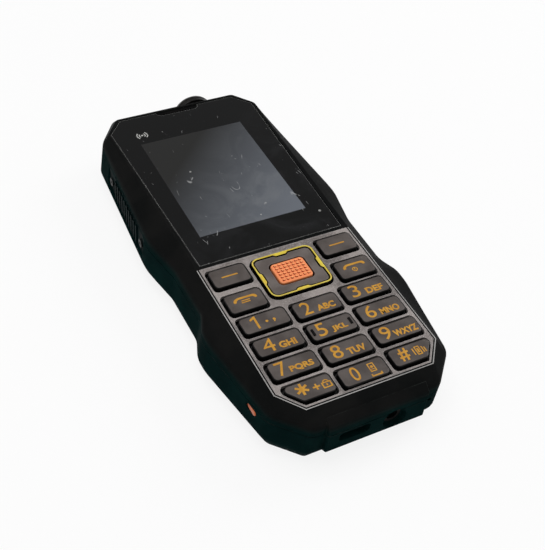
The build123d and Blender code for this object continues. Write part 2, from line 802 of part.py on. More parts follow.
# ---------------------------------------------------------------- keys
key_low_z = front_z - plate_thick - flange_gap - key_flange_thick
for name, (place, size) in keys.items():
    with BuildPart() as key:
        with BuildSketch(Plane(origin=(*place, key_low_z))):
            key_plan(name, size, key_flange)
        extrude(amount=key_flange_thick)
        with BuildSketch(Plane(origin=(*place, key_low_z))):
            key_plan(name, size, 0)
        extrude(amount=front_z + key_stand - key_low_z)
        fillet(key.faces().sort_by(Axis.Z)[-1].edges(), radius=key_crown)
    write(key, name)

# the navigation key tilts about Y on a yoke, and the yoke tilts about X
nav_flange_high_z = front_z - plate_thick - nav_tilt_gap
nav_low_z = nav_flange_high_z - nav_flange_thick
yoke_pad_high_z = nav_low_z - yoke_gap
yoke_low_z = yoke_pad_high_z - yoke_pad_height - yoke_thick
ok_low_z = front_z - ok_drop
ok_hole = (ok_size[0] + 2 * ok_gap, ok_size[1] + 2 * ok_gap)
nav_inner = (nav_size[0] - 2 * nav_rim, nav_size[1] - 2 * nav_rim)

with BuildPart() as nav_key:
    with BuildSketch(Plane(origin=(*nav_place, nav_low_z))):
        RectangleRounded(*nav_inner, nav_corner - nav_rim)
    extrude(amount=front_z + nav_face_stand - nav_low_z)
    with BuildSketch(Plane(origin=(*nav_place, nav_low_z))):
        Rectangle(nav_size[0] + 2 * key_flange, 2 * nav_tab_half)
        Rectangle(2 * nav_tab_half, nav_size[1] + 2 * key_flange)
    extrude(amount=nav_flange_thick)
    with BuildSketch(Plane(origin=(*nav_place, nav_low_z))):
        RectangleRounded(*ok_hole, ok_corner + ok_gap)
    extrude(amount=body_depth, mode=Mode.SUBTRACT)
write(nav_key, "nav_key")

with BuildPart() as nav_rim_ring:
    with BuildSketch(Plane(origin=(*nav_place, nav_flange_high_z))):
        RectangleRounded(*nav_size, nav_corner)
        RectangleRounded(*nav_inner, nav_corner - nav_rim, mode=Mode.SUBTRACT)
    extrude(amount=front_z + nav_stand - nav_flange_high_z)
    chamfer(nav_rim_ring.faces().sort_by(Axis.Z)[-1].edges(), length=nav_rim_bevel)
write(nav_rim_ring, "nav_rim")

with BuildPart() as nav_yoke:
    with BuildSketch(Plane(origin=(*nav_place, yoke_low_z))):
        Rectangle(*yoke_size)
        Rectangle(*yoke_hole, mode=Mode.SUBTRACT)
    extrude(amount=yoke_thick)
    with BuildSketch(Plane(origin=(*nav_place, yoke_low_z))):
        with GridLocations(0, (yoke_size[1] + yoke_hole[1]) / 2, 1, 2):
            Rectangle(2 * yoke_pad_half, (yoke_size[1] - yoke_hole[1]) / 2)
    extrude(amount=yoke_thick + yoke_pad_height)
write(nav_yoke, "nav_yoke")

with BuildPart() as ok_key:
    with BuildSketch(Plane(origin=(*nav_place, ok_low_z))):
        RectangleRounded(ok_size[0] + 2 * ok_flange, ok_size[1] + 2 * ok_flange,
                         ok_corner + ok_flange)
    extrude(amount=ok_flange_thick)
    with BuildSketch(Plane(origin=(*nav_place, ok_low_z))):
        RectangleRounded(*ok_size, ok_corner)
    extrude(amount=front_z + ok_stand - ok_low_z)
    fillet(ok_key.faces().sort_by(Axis.Z)[-1].edges(), radius=key_crown)
write(ok_key, "key_ok")

# ---------------------------------------------------------------- keypad sheets
keypad_board_z = front_z - board_drop + chassis_lift + chassis_thick
dome_low_z = keypad_board_z + keypad_board_thick
membrane_z = ok_low_z - ok_rest_gap - membrane_thick
keypad_low_y = along(keypad_start) - sheet_margin
sheet_outline = both_sides([
    (inner_half - sheet_clip[0], keypad_low_y),
    (inner_half, keypad_low_y + sheet_clip[1]),
    (inner_half, plate_high_y - fit_gap),
])
press_places = [place for place, size in keys.values()]
nav_presses = [
    (nav_place[0] + x, nav_place[1] + y)
    for x, y in ((0, 0), (nav_press_x, 0), (-nav_press_x, 0), (0, nav_press_y), (0, -nav_press_y))
]

with BuildPart() as keypad_membrane:
    with BuildSketch(Plane.XY.offset(membrane_z)):
        Polygon(*sheet_outline, align=None)
    extrude(amount=membrane_thick)
    with BuildSketch(Plane.XY.offset(membrane_z)):
        with Locations(*press_places):
            Rectangle(*membrane_pad)
    extrude(amount=key_low_z - key_travel - key_rest_gap - membrane_z)
    with BuildSketch(Plane.XY.offset(membrane_z)):
        with Locations(*press_places, *nav_presses):
            Circle(plunger_radius)
    extrude(amount=dome_low_z + dome_height + plunger_gap - membrane_z)
write(keypad_membrane, "keypad_membrane")

with BuildPart() as snap_domes:
    with BuildSketch(Plane.XY.offset(dome_low_z)):
        with Locations(*press_places, *nav_presses):
            Circle(dome_radius)
    extrude(amount=dome_height, taper=dome_taper)
write(snap_domes, "snap_domes")

with BuildPart() as keypad_board:
    with BuildSketch(Plane.XY.offset(keypad_board_z)):
        Polygon(*sheet_outline, align=None)
    extrude(amount=keypad_board_thick)
write(keypad_board, "keypad_board")

# ---------------------------------------------------------------- display
lcd_z = glass_seat_z - lcd_sink - lcd_thick
with BuildPart() as display_panel:
    with BuildSketch(Plane.XY.offset(lcd_z)):
        with Locations(lcd_middle):
            Rectangle(*lcd_size)
    extrude(amount=lcd_thick)
write(display_panel, "display_panel")

with BuildPart() as backlight:
    with BuildSketch(Plane.XY.offset(keypad_board_z)):
        with Locations(lcd_middle):
            RectangleRounded(*lcd_size, backlight_corner)
    extrude(amount=lcd_z - keypad_board_z)
write(backlight, "backlight")

# ---------------------------------------------------------------- chassis and main board
chassis_z = front_z - board_drop + chassis_lift
jack_start = wall + jack_seat_gap
board_outline = both_sides([
    (board_half - board_clip[0], along(board_margin)),
    (board_half, along(board_margin) + board_clip[1]),
    (board_half, top_y - torch_barrel_length - board_margin),
])

with BuildPart() as chassis:
    with BuildSketch(Plane.XY.offset(chassis_z)):
        Polygon(*board_outline, align=None)
        with Locations((0, top_y - chassis_window_drop)):
            Rectangle(*chassis_window, mode=Mode.SUBTRACT)
    extrude(amount=chassis_thick)
    with BuildSketch(Plane.XY.offset(chassis_z - chassis_lift)):
        with Locations(*standoffs):
            Circle(standoff_radius)
    extrude(amount=chassis_lift)
write(chassis, "chassis")

with BuildPart() as main_board:
    with BuildSketch(Plane.XY.offset(board_z)):
        Polygon(*board_outline, align=None)
        with Locations((jack_x, bottom_y)):
            Rectangle(jack_body[0] + 2 * jack_room, 2 * (jack_start + jack_body[1] + jack_room),
                      mode=Mode.SUBTRACT)
    extrude(amount=main_board_thick)
write(main_board, "main_board")

with BuildPart() as shield_cans:
    with BuildSketch(Plane(origin=(0, along(shield_y), board_z))):
        with GridLocations(2 * shield_x, 0, 2, 1):
            Rectangle(*shield_size)
    extrude(amount=-shield_height)
    with BuildSketch(Plane(origin=(0, along(shield_y), board_z))):
        with GridLocations(2 * shield_x, 0, 2, 1):
            Rectangle(shield_size[0] - 2 * shield_wall, shield_size[1] - 2 * shield_wall)
    extrude(amount=shield_wall - shield_height, mode=Mode.SUBTRACT)
write(shield_cans, "shield_cans")

# ================================================================ bottom end
usb_front = Plane(origin=(usb_x, along(usb_setback), usb_z), x_dir=(1, 0, 0), z_dir=(0, -1, 0))
with BuildPart() as usb_shell:
    with BuildSketch(usb_front):
        Rectangle(usb_size[0], usb_size[2])
    extrude(amount=-usb_size[1])
    with BuildSketch(usb_front):
        Rectangle(usb_size[0] - 2 * usb_wall, usb_size[2] - 2 * usb_wall)
    extrude(amount=usb_wall - usb_size[1], mode=Mode.SUBTRACT)
write(usb_shell, "usb_shell")

with BuildPart() as usb_tongue:
    with BuildSketch(usb_front.offset(-usb_tongue_setback)):
        with Locations((0, usb_tongue_rise)):
            Rectangle(*usb_tongue_size)
    extrude(amount=usb_tongue_setback + usb_wall - usb_size[1])
write(usb_tongue, "usb_tongue")

jack_front = Plane(origin=(jack_x, along(jack_nose_setback), jack_z), x_dir=(1, 0, 0),
                   z_dir=(0, -1, 0))
with BuildPart() as audio_jack:
    with BuildSketch(jack_front):
        Circle(jack_nose_radius)
    extrude(amount=jack_nose_setback - jack_start)
    with BuildSketch(jack_front.offset(jack_nose_setback - jack_start)):
        Rectangle(jack_body[0], jack_body[2])
    extrude(amount=-jack_body[1])
    with BuildSketch(jack_front):
        Circle(jack_bore_radius)
    extrude(amount=-jack_bore_length, mode=Mode.SUBTRACT)
write(audio_jack, "audio_jack")

mic_seat = Plane(origin=(mic_x, along(wall + mic_setback), mic_z), x_dir=(1, 0, 0), z_dir=(0, -1, 0))
with BuildPart() as microphone:
    with BuildSketch(mic_seat):
        Circle(mic_radius)
    extrude(amount=-mic_length)
write(microphone, "microphone")

# ================================================================ top end
torch_front = Plane(origin=(torch_x, top_y + torch_out, torch_z), x_dir=(-1, 0, 0),
                    z_dir=(0, 1, 0))
lens_seat_depth = lens_sink + lens_thick
with BuildPart() as torch_bezel:
    with BuildSketch(torch_front):
        Circle(torch_head_radius)
    extrude(amount=torch_head_gap - torch_out)
    chamfer(torch_bezel.faces().sort_by(Axis.Y)[-1].edges(), length=torch_head_bevel)
    with BuildSketch(torch_front):
        Circle(torch_barrel_radius)
    extrude(amount=-torch_out - torch_barrel_length)
    with BuildSketch(torch_front):
        Circle(torch_barrel_radius - torch_wall)
    extrude(amount=-torch_out - torch_barrel_length, mode=Mode.SUBTRACT)
    with BuildSketch(torch_front):
        Circle(lens_radius + fit_gap / 2)
    extrude(amount=-lens_seat_depth, mode=Mode.SUBTRACT)
write(torch_bezel, "torch_bezel")

with BuildPart() as torch_lens:
    with BuildSketch(torch_front.offset(-lens_sink)):
        Circle(lens_radius)
    extrude(amount=-lens_thick)
write(torch_lens, "torch_lens")

cup_radius = torch_barrel_radius - torch_wall - fit_gap / 2
with BuildPart() as torch_reflector:
    with BuildSketch(torch_front.offset(-lens_seat_depth - fit_gap / 2)):
        Circle(cup_radius)
    extrude(amount=-cup_depth)
    with BuildSketch(torch_front.offset(-lens_seat_depth - fit_gap / 2)):
        Circle(cup_radius - cup_wall)
    extrude(amount=-cup_depth, taper=cup_taper, mode=Mode.SUBTRACT)
write(torch_reflector, "torch_reflector")

led_seat = torch_front.offset(-lens_seat_depth - fit_gap - cup_depth)
with BuildPart() as torch_led:
    with BuildSketch(led_seat):
        Circle(cup_radius)
    extrude(amount=-led_board_thick)
    with BuildSketch(led_seat):
        Circle(led_radius)
    extrude(amount=led_height)
    fillet(torch_led.faces().sort_by(Axis.Y)[-1].edges(), radius=led_radius / 2)
write(torch_led, "torch_led")

with BuildPart() as earpiece:
    with BuildSketch(Plane.XY.offset(shelf_z)):
        with Locations((0, glass_high_y + glass_rim - rim_inset - fit_gap)):
            RectangleRounded(earpiece_size[0], earpiece_size[1], earpiece_corner,
                             align=(Align.CENTER, Align.MAX))
    extrude(amount=-earpiece_size[2])
write(earpiece, "earpiece")

with BuildPart() as loudspeaker:
    with BuildSketch(Plane.XY.offset(speaker_z)):
        with Locations((speaker_x, speaker_y)):
            Rectangle(*speaker_size[:2])
    extrude(amount=speaker_size[2])
write(loudspeaker, "loudspeaker")

with BuildPart() as camera_module:
    with BuildSketch(Plane.XY.offset(speaker_z)):
        with Locations((camera_x, camera_y)):
            Rectangle(*camera_size[:2])
    extrude(amount=camera_size[2])
    with BuildSketch(Plane.XY.offset(speaker_z)):
        with Locations((camera_x, camera_y)):
            Circle(camera_barrel_radius)
    extrude(amount=camera_window_seat + fit_gap - speaker_z)
write(camera_module, "camera_module")

with BuildPart() as camera_window:
    with BuildSketch(Plane.XY.offset(camera_window_seat)):
        with Locations((camera_x, camera_y)):
            Circle(camera_window_radius)
    extrude(amount=-camera_window_thick)
write(camera_window, "camera_window")

with BuildPart() as vibration_motor:
    with BuildSketch(Plane(origin=(motor_x, bay_high_y + motor_rise, rear_floor_z + motor_radius),
                           x_dir=(0, 1, 0), z_dir=(1, 0, 0))):
        Circle(motor_radius)
    extrude(amount=motor_length)
write(vibration_motor, "vibration_motor")

antenna_y = top_y - wall - antenna_thick
with BuildPart() as antenna:
    with BuildSketch(Plane(origin=(0, antenna_y, 0), x_dir=(-1, 0, 0), z_dir=(0, 1, 0))):
        with Locations((antenna_x, rear_floor_z + antenna_lift + antenna_size[1] / 2)):
            Rectangle(*antenna_size)
    extrude(amount=antenna_thick)
write(antenna, "antenna")

# ================================================================ battery bay
battery_low_z = cover_lift + cover_thick + battery_gap
with BuildPart() as battery:
    with BuildSketch(Plane.XY.offset(battery_low_z)):
        with Locations((0, battery_low_y)):
            RectangleRounded(2 * (bay_half - battery_side_gap), battery_high_y - battery_low_y,
                             battery_corner, align=(Align.CENTER, Align.MIN))
    extrude(amount=bay_floor_z - battery_gap - battery_low_z)
write(battery, "battery")

with BuildPart() as contact_block:
    with BuildSketch(Plane.XY.offset(bay_floor_z)):
        with Locations((0, block_y)):
            Rectangle(contact_block_size[0], contact_block_size[1],
                      align=(Align.CENTER, Align.MIN))
    extrude(amount=-contact_block_size[2])
write(contact_block, "contact_block")

with BuildPart() as battery_contacts:
    with BuildSketch(Plane.XY.offset(battery_low_z + contact_rise)):
        with Locations((0, block_y)):
            with GridLocations(contact_pitch, 0, contact_count, 1):
                Rectangle(contact_width, contact_gap - fit_gap / 2,
                          align=(Align.CENTER, Align.MAX))
    extrude(amount=contact_width)
write(battery_contacts, "battery_contacts")

card_y = bay_high_y - card_margin - sim_size[1] / 2
with BuildPart() as sim_holders:
    with BuildSketch(Plane.XY.offset(card_roof_z)):
        with Locations((0, card_y)):
            with GridLocations(2 * sim_x, 0, 2, 1):
                Rectangle(*sim_size)
    extrude(amount=-sim_height)
    with BuildSketch(Plane.XY.offset(card_roof_z - sim_wall)):
        with Locations((0, card_y - sim_wall)):
            with GridLocations(2 * sim_x, 0, 2, 1):
                Rectangle(sim_size[0] - 2 * sim_wall, sim_size[1])
    extrude(amount=2 * sim_wall - sim_height, mode=Mode.SUBTRACT)
write(sim_holders, "sim_holders")

with BuildPart() as memory_card_holder:
    with BuildSketch(Plane.XY.offset(card_roof_z)):
        with Locations((0, card_y)):
            Rectangle(*memory_size)
    extrude(amount=-sim_height)
    with BuildSketch(Plane.XY.offset(card_roof_z - sim_wall)):
        with Locations((0, card_y - sim_wall)):
            Rectangle(memory_size[0] - 2 * sim_wall, memory_size[1])
    extrude(amount=2 * sim_wall - sim_height, mode=Mode.SUBTRACT)
write(memory_card_holder, "memory_card_holder")

# ================================================================ sides
with BuildPart() as side_button:
    with BuildSketch(Plane.YZ.offset(-button_face_x)):
        with Locations((along(side_button_y), button_z)):
            SlotOverall(*side_button_size)
    extrude(amount=button_face_x - button_flange_x)
    fillet(side_button.faces().sort_by(Axis.X)[0].edges(), radius=button_crown)
    with BuildSketch(Plane.YZ.offset(-button_flange_x)):
        with Locations((along(side_button_y), button_z)):
            SlotOverall(side_button_size[0] + 2 * button_flange,
                        side_button_size[1] + 2 * button_flange)
    extrude(amount=button_flange_thick)
write(side_button, "side_button")

switch_x = button_flange_x - button_flange_thick - side_button_travel - fit_gap
with BuildPart() as side_switch:
    with BuildSketch(Plane.XY.offset(board_z)):
        with Locations((switch_plunger - switch_x, along(side_button_y))):
            Rectangle(*switch_size[:2], align=(Align.MIN, Align.CENTER))
    extrude(amount=-switch_size[2])
    with BuildSketch(Plane.YZ.offset(-switch_x)):
        with Locations((along(side_button_y), board_z - switch_size[2] / 2)):
            Circle(switch_plunger_radius)
    extrude(amount=switch_plunger)
write(side_switch, "side_switch")

rib_count = int((grip_length - 2 * grip_plain_end) / rib_pitch) + 1
for side, name in ((-1, "grip_left"), (1, "grip_right")):
    floor = grip_plane(side).offset(-grip_sink)
    with BuildPart() as grip:
        with BuildSketch(floor):
            RectangleRounded(grip_length, grip_height, grip_corner)
            with GridLocations(2 * screw_reach, 0, 2, 1):
                Circle(grip_screw_radius + fit_gap, mode=Mode.SUBTRACT)
        extrude(amount=grip_thick)
        with BuildSketch(floor):
            with GridLocations(rib_pitch, 0, rib_count, 1):
                Rectangle(rib_width, grip_height - 2 * rib_inset)
        extrude(amount=grip_thick + rib_height)
    write(grip, name)

with BuildPart() as grip_screws:
    for side in (-1, 1):
        seat = grip_plane(side).offset(grip_thick - grip_sink)
        with BuildSketch(seat):
            with GridLocations(2 * screw_reach, 0, 2, 1):
                Circle(grip_head_radius)
        extrude(amount=grip_head_height)
        with BuildSketch(seat):
            with GridLocations(2 * screw_reach, 0, 2, 1):
                Circle(grip_screw_radius)
        extrude(amount=-grip_screw_length)
        with BuildSketch(seat.offset(grip_head_height)):
            with GridLocations(2 * screw_reach, 0, 2, 1):
                RegularPolygon(grip_driver_radius, 6)
        extrude(amount=-grip_head_height / 2, mode=Mode.SUBTRACT)
write(grip_screws, "grip_screws")
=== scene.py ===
import json
from math import cos, pi, radians, sin

import bmesh
import bpy
from mathutils import Matrix, Vector
from mathutils.geometry import convex_hull_2d


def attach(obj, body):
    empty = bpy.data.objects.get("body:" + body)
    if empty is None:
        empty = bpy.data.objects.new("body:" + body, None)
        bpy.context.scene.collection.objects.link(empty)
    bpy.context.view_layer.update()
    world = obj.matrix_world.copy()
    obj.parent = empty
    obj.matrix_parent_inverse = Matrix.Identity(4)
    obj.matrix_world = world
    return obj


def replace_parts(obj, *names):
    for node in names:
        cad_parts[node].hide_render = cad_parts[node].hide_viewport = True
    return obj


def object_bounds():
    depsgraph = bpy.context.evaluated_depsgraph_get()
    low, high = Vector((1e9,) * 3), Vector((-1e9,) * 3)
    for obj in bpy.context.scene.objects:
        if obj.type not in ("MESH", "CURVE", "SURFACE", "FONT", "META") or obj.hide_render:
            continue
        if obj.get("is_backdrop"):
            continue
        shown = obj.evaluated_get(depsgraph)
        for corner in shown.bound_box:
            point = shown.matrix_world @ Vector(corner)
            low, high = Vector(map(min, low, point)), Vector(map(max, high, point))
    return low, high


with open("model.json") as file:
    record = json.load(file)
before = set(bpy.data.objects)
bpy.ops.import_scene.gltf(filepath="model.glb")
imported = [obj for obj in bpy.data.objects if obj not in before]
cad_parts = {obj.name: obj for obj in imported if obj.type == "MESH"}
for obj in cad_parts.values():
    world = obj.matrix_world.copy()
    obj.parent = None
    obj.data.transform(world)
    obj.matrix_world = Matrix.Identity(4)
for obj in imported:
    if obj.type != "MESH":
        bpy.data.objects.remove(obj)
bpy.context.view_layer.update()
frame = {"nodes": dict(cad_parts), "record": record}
nodes = frame["nodes"]
scene = bpy.context.scene
scene.view_settings.view_transform = "Standard"
mm = 0.001
samePoint = 1e-7  # points closer than this are one point
looseSame = 1e-6  # the same for meshes that come from the frame or a boolean
noiseRange = (0.3, 0.7)  # where nearly all of a noise's values lie
cloudRange = (0.35, 0.65)  # narrower, so that clouds reach their full shade
print("frame loaded with", len(nodes), "nodes")


def newGroup(name, inputs, outputs):
    tree = bpy.data.node_groups.new(name, "ShaderNodeTree")
    for label, value in inputs:
        socket = tree.interface.new_socket(label, in_out="INPUT", socket_type="NodeSocketFloat")
        socket.default_value = value
    for label in outputs:
        tree.interface.new_socket(label, in_out="OUTPUT", socket_type="NodeSocketFloat")
    return tree, tree.nodes.new("NodeGroupInput"), tree.nodes.new("NodeGroupOutput")


def put(tree, kind, values=None, **settings):
    node = tree.nodes.new(kind)
    for key, value in settings.items():
        setattr(node, key, value)
    for key, value in (values or {}).items():
        if isinstance(value, bpy.types.NodeSocket):
            tree.links.new(value, node.inputs[key])
        else:
            node.inputs[key].default_value = value
    return node


def mathNode(tree, operation, first, second=0.0, clamp=False):
    return put(tree, "ShaderNodeMath", {0: first, 1: second}, operation=operation, use_clamp=clamp).outputs[0]


def times(tree, first, second):
    return mathNode(tree, "MULTIPLY", first, second)


def placeIn(tree):
    return put(tree, "ShaderNodeTexCoord").outputs["Object"]


def ramp(tree, value, low, high, outLow=0.0, outHigh=1.0, smooth=True):
    kind = "SMOOTHSTEP" if smooth else "LINEAR"
    return put(tree, "ShaderNodeMapRange", {0: value, 1: low, 2: high, 3: outLow, 4: outHigh},
               interpolation_type=kind).outputs[0]


def noiseAt(tree, place, size, detail=4.0, rough=0.55, distortion=0.0):
    density = mathNode(tree, "DIVIDE", 1.0, size)
    return put(tree, "ShaderNodeTexNoise", {"Vector": place, "Scale": density, "Detail": detail, "Roughness": rough,
                                            "Distortion": distortion}).outputs[0]


def makeGrain():
    # moulded or sprayed texture at one scale, with a slow cloudy variation over it
    tree, given, out = newGroup("surfaceGrain", [("Size", 0.0002), ("Cloud Size", 0.01), ("Stretch", 1.0)],
                                ["Height", "Cloud"])
    place = placeIn(tree)
    wide = put(tree, "ShaderNodeCombineXYZ", {0: given.outputs["Stretch"], 1: 1.0, 2: 1.0}).outputs[0]
    spread = put(tree, "ShaderNodeVectorMath", {0: place, 1: wide}, operation="DIVIDE").outputs[0]
    tree.links.new(noiseAt(tree, spread, given.outputs["Size"], 3.0, 0.6), out.inputs["Height"])
    slow = noiseAt(tree, place, given.outputs["Cloud Size"])
    tree.links.new(ramp(tree, slow, *cloudRange), out.inputs["Cloud"])
    return tree


edgeMaskLook = {"edge": (0.975, 0.88), "patches": (0.62, 0.42), "detail": 5.0, "rough": 0.7, "samples": 4}


def makeEdgeWearAndHighlight():
    # an edge mask, for rubbed edges and for painted edge highlights: where the rounded normal leaves the true one;
    # Broken 1 keeps it in patches only
    s = edgeMaskLook
    tree, given, out = newGroup("edgeWearAndHighlight", [("Reach", 0.0003), ("Amount", 0.5), ("Patch Size", 0.004),
                                             ("Broken", 1.0)], ["Mask"])
    rounded = put(tree, "ShaderNodeBevel", {"Radius": given.outputs["Reach"]}, samples=s["samples"]).outputs[0]
    plain = put(tree, "ShaderNodeNewGeometry").outputs["Normal"]
    agree = put(tree, "ShaderNodeVectorMath", {0: rounded, 1: plain}, operation="DOT_PRODUCT").outputs["Value"]
    edge = ramp(tree, agree, *s["edge"], smooth=False)
    patch = noiseAt(tree, placeIn(tree), given.outputs["Patch Size"], s["detail"], s["rough"])
    lost = times(tree, ramp(tree, patch, *s["patches"]), given.outputs["Broken"])
    kept = times(tree, edge, mathNode(tree, "SUBTRACT", 1.0, lost))
    tree.links.new(mathNode(tree, "MULTIPLY", kept, given.outputs["Amount"], clamp=True), out.inputs["Mask"])
    return tree


# hairs: how far each set leans in degrees, and the noise level that it follows
marksLook = {"smear": (0.42, 0.68), "smearNoise": (6.0, 0.62, 0.9), "hairs": ((37, 0.56), (-64, 0.60)),
             "hairWidth": 0.008, "hairStretch": 0.30, "patchSize": 0.55, "patches": (0.60, 0.68),
             "speck": (0.05, 0.15), "specks": (0.962, 0.975)}


def makeHandling():
    # what hands and pockets leave: smears, short hair scratches and specks of dust
    s = marksLook
    tree, given, out = newGroup("handlingMarks", [("Smear Size", 0.012), ("Scratch Size", 0.004),
                                                  ("Dust Size", 0.0012)], ["Smear", "Scratch", "Dust"])
    place = placeIn(tree)
    smear = noiseAt(tree, place, given.outputs["Smear Size"], *s["smearNoise"])
    hairs = []
    for turn, level in s["hairs"]:
        leaning = put(tree, "ShaderNodeMapping", {"Vector": place, "Rotation": (0.0, 0.0, radians(turn)),
                                                  "Scale": (1.0, s["hairStretch"], 1.0)}).outputs[0]
        field = noiseAt(tree, leaning, given.outputs["Scratch Size"], 1.0)
        away = mathNode(tree, "ABSOLUTE", mathNode(tree, "SUBTRACT", field, level))
        hairs.append(ramp(tree, away, s["hairWidth"], 0.0))
    patchSize = times(tree, given.outputs["Scratch Size"], s["patchSize"])
    patch = ramp(tree, noiseAt(tree, place, patchSize, 2.0), *s["patches"])
    scratch = times(tree, mathNode(tree, "MAXIMUM", *hairs), patch)
    speck = put(tree, "ShaderNodeTexVoronoi",
                {"Vector": place, "Scale": mathNode(tree, "DIVIDE", 1.0, given.outputs["Dust Size"])})
    drawn = put(tree, "ShaderNodeSeparateColor", {0: speck.outputs["Color"]}).outputs
    reach = ramp(tree, drawn[1], 0.0, 1.0, *s["speck"])
    dot = mathNode(tree, "LESS_THAN", speck.outputs["Distance"], reach)
    tree.links.new(ramp(tree, smear, *s["smear"]), out.inputs["Smear"])
    tree.links.new(scratch, out.inputs["Scratch"])
    tree.links.new(times(tree, dot, ramp(tree, drawn[0], *s["specks"])), out.inputs["Dust"])
    return tree


def makeHeightMask():
    # 0 below a level, 1 above it, for finishes that change up a piece
    tree, given, out = newGroup("heightMask", [("Low", 0.0), ("High", 0.001)], ["Mask"])
    height = put(tree, "ShaderNodeSeparateXYZ", {0: placeIn(tree)}).outputs[2]
    mask = put(tree, "ShaderNodeMapRange", {0: height, 1: given.outputs["Low"], 2: given.outputs["High"]})
    tree.links.new(mask.outputs[0], out.inputs["Mask"])
    return tree


grainGroup, edgeWearAndHighlightGroup, handlingGroup, heightGroup = makeGrain(), makeEdgeWearAndHighlight(), makeHandling(), makeHeightMask()


def useGroup(tree, group, **values):
    node = tree.nodes.new("ShaderNodeGroup")
    node.node_tree = group
    for key, value in values.items():
        node.inputs[key.replace("_", " ")].default_value = value
    return node.outputs


# edge mask for worn edges, and for painted highlights along edges where a finish uses it for them
def wearAndHighlightMask(tree, look):
    return useGroup(tree, edgeWearAndHighlightGroup, **look["edge"])["Mask"]


def aboveMask(tree, low, high):
    return useGroup(tree, heightGroup, Low=low, High=high)["Mask"]


def mixColor(tree, amount, first, second):
    node = put(tree, "ShaderNodeMix", data_type="RGBA")
    for index, value in ((0, amount), (6, first), (7, second)):
        if isinstance(value, bpy.types.NodeSocket):
            tree.links.new(value, node.inputs[index])
        else:
            node.inputs[index].default_value = value if index == 0 else (*value, 1.0)
    return node.outputs[2]


def emptyMaterial(name, kind):
    # a material with one shader node linked to its output
    material = bpy.data.materials.new(name)
    material.use_nodes = True
    tree = material.node_tree
    tree.nodes.clear()
    shader = tree.nodes.new(kind)
    out = tree.nodes.new("ShaderNodeOutputMaterial")
    tree.links.new(shader.outputs[0], out.inputs[0])
    return material, tree, shader


def newMaterial(name, specular):
    material, tree, shader = emptyMaterial(name, "ShaderNodeBsdfPrincipled")
    shader.inputs["Specular IOR Level"].default_value = specular
    return material, tree, shader


def roughen(tree, shader, height, depth):
    bump = put(tree, "ShaderNodeBump", {"Height": height, "Distance": depth, "Strength": 1.0})
    tree.links.new(bump.outputs[0], shader.inputs["Normal"])


def roughOver(tree, height, rough, spread):
    return ramp(tree, height, *noiseRange, rough - spread, rough + spread)


def startFinish(name, values):
    # a new material with its shader and its grain
    material, tree, shader = newMaterial(name, values.get("specular", 0.5))
    shader.inputs["Metallic"].default_value = values.get("metal", 0.0)
    return material, tree, shader, useGroup(tree, grainGroup, **values["grain"])


def endFinish(tree, shader, color, height, values):
    # the colour, and the grain's roughness and relief
    tree.links.new(color, shader.inputs["Base Color"])
    tree.links.new(roughOver(tree, height, values["rough"], values["spread"]), shader.inputs["Roughness"])
    roughen(tree, shader, height, values["depth"])


def finishOf(name, color, shade, rough, spread=0.08, metal=0.0, grain=0.0003, depth=0.00001, stretch=1.0,
             cloud=0.008, wornColor=None, worn=0.5, reach=0.0002, specular=0.5):
    # one finish: two shades in slow clouds, a fine grain, and worn edges
    values = {"grain": {"Size": grain, "Cloud_Size": cloud, "Stretch": stretch}, "rough": rough, "spread": spread,
              "metal": metal, "depth": depth, "specular": specular}
    material, tree, shader, look = startFinish(name, values)
    tint = mixColor(tree, look["Cloud"], color, shade)
    if wornColor:
        mask = useGroup(tree, edgeWearAndHighlightGroup, Reach=reach, Amount=worn)["Mask"]
        tint = mixColor(tree, mask, tint, wornColor)
    endFinish(tree, shader, tint, look["Height"], values)
    return material


caseLook = {"front": (0.0064, 0.0070, 0.0070), "frontShade": (0.0098, 0.0098, 0.0096),
            "side": (0.0018, 0.0092, 0.0092), "sideReflectionShade": (0.0024, 0.0148, 0.0142), "worn": (0.055, 0.062, 0.058),
            "edge": {"Reach": 0.00022, "Amount": 0.55, "Patch_Size": 0.009}, "creaseZ": 0.0164, "fade": 0.0022,
            "grain": {"Size": 0.00022, "Cloud_Size": 0.016}, "depth": 0.00001, "smearSize": 0.018, "polish": 0.08,
            "rough": 0.46, "spread": 0.07, "sideRough": 0.34, "specular": 0.008}


def makeCasePlastic():
    # black on the front slopes; the green-blue tint down the sides is a painted reflection of coloured surroundings
    s = caseLook
    material, tree, shader, look = startFinish("casePlastic", s)
    front = mixColor(tree, look["Cloud"], s["front"], s["frontShade"])
    # painted reflection: the sides below the crease are tinted green-blue
    side = mixColor(tree, look["Cloud"], s["side"], s["sideReflectionShade"])
    upper = aboveMask(tree, s["creaseZ"] - s["fade"], s["creaseZ"])
    body = mixColor(tree, upper, side, front)
    # the lighter worn edges along the creases are partly wear and partly painted highlight
    tree.links.new(mixColor(tree, wearAndHighlightMask(tree, s), body, s["worn"]), shader.inputs["Base Color"])
    marks = useGroup(tree, handlingGroup, Smear_Size=s["smearSize"])
    base = roughOver(tree, look["Height"], s["rough"], s["spread"])
    base = mathNode(tree, "ADD", base, ramp(tree, upper, 0.0, 1.0, s["sideRough"], 0.0))
    polished = times(tree, marks["Smear"], s["polish"])
    tree.links.new(mathNode(tree, "SUBTRACT", base, polished), shader.inputs["Roughness"])
    roughen(tree, shader, look["Height"], s["depth"])
    return material


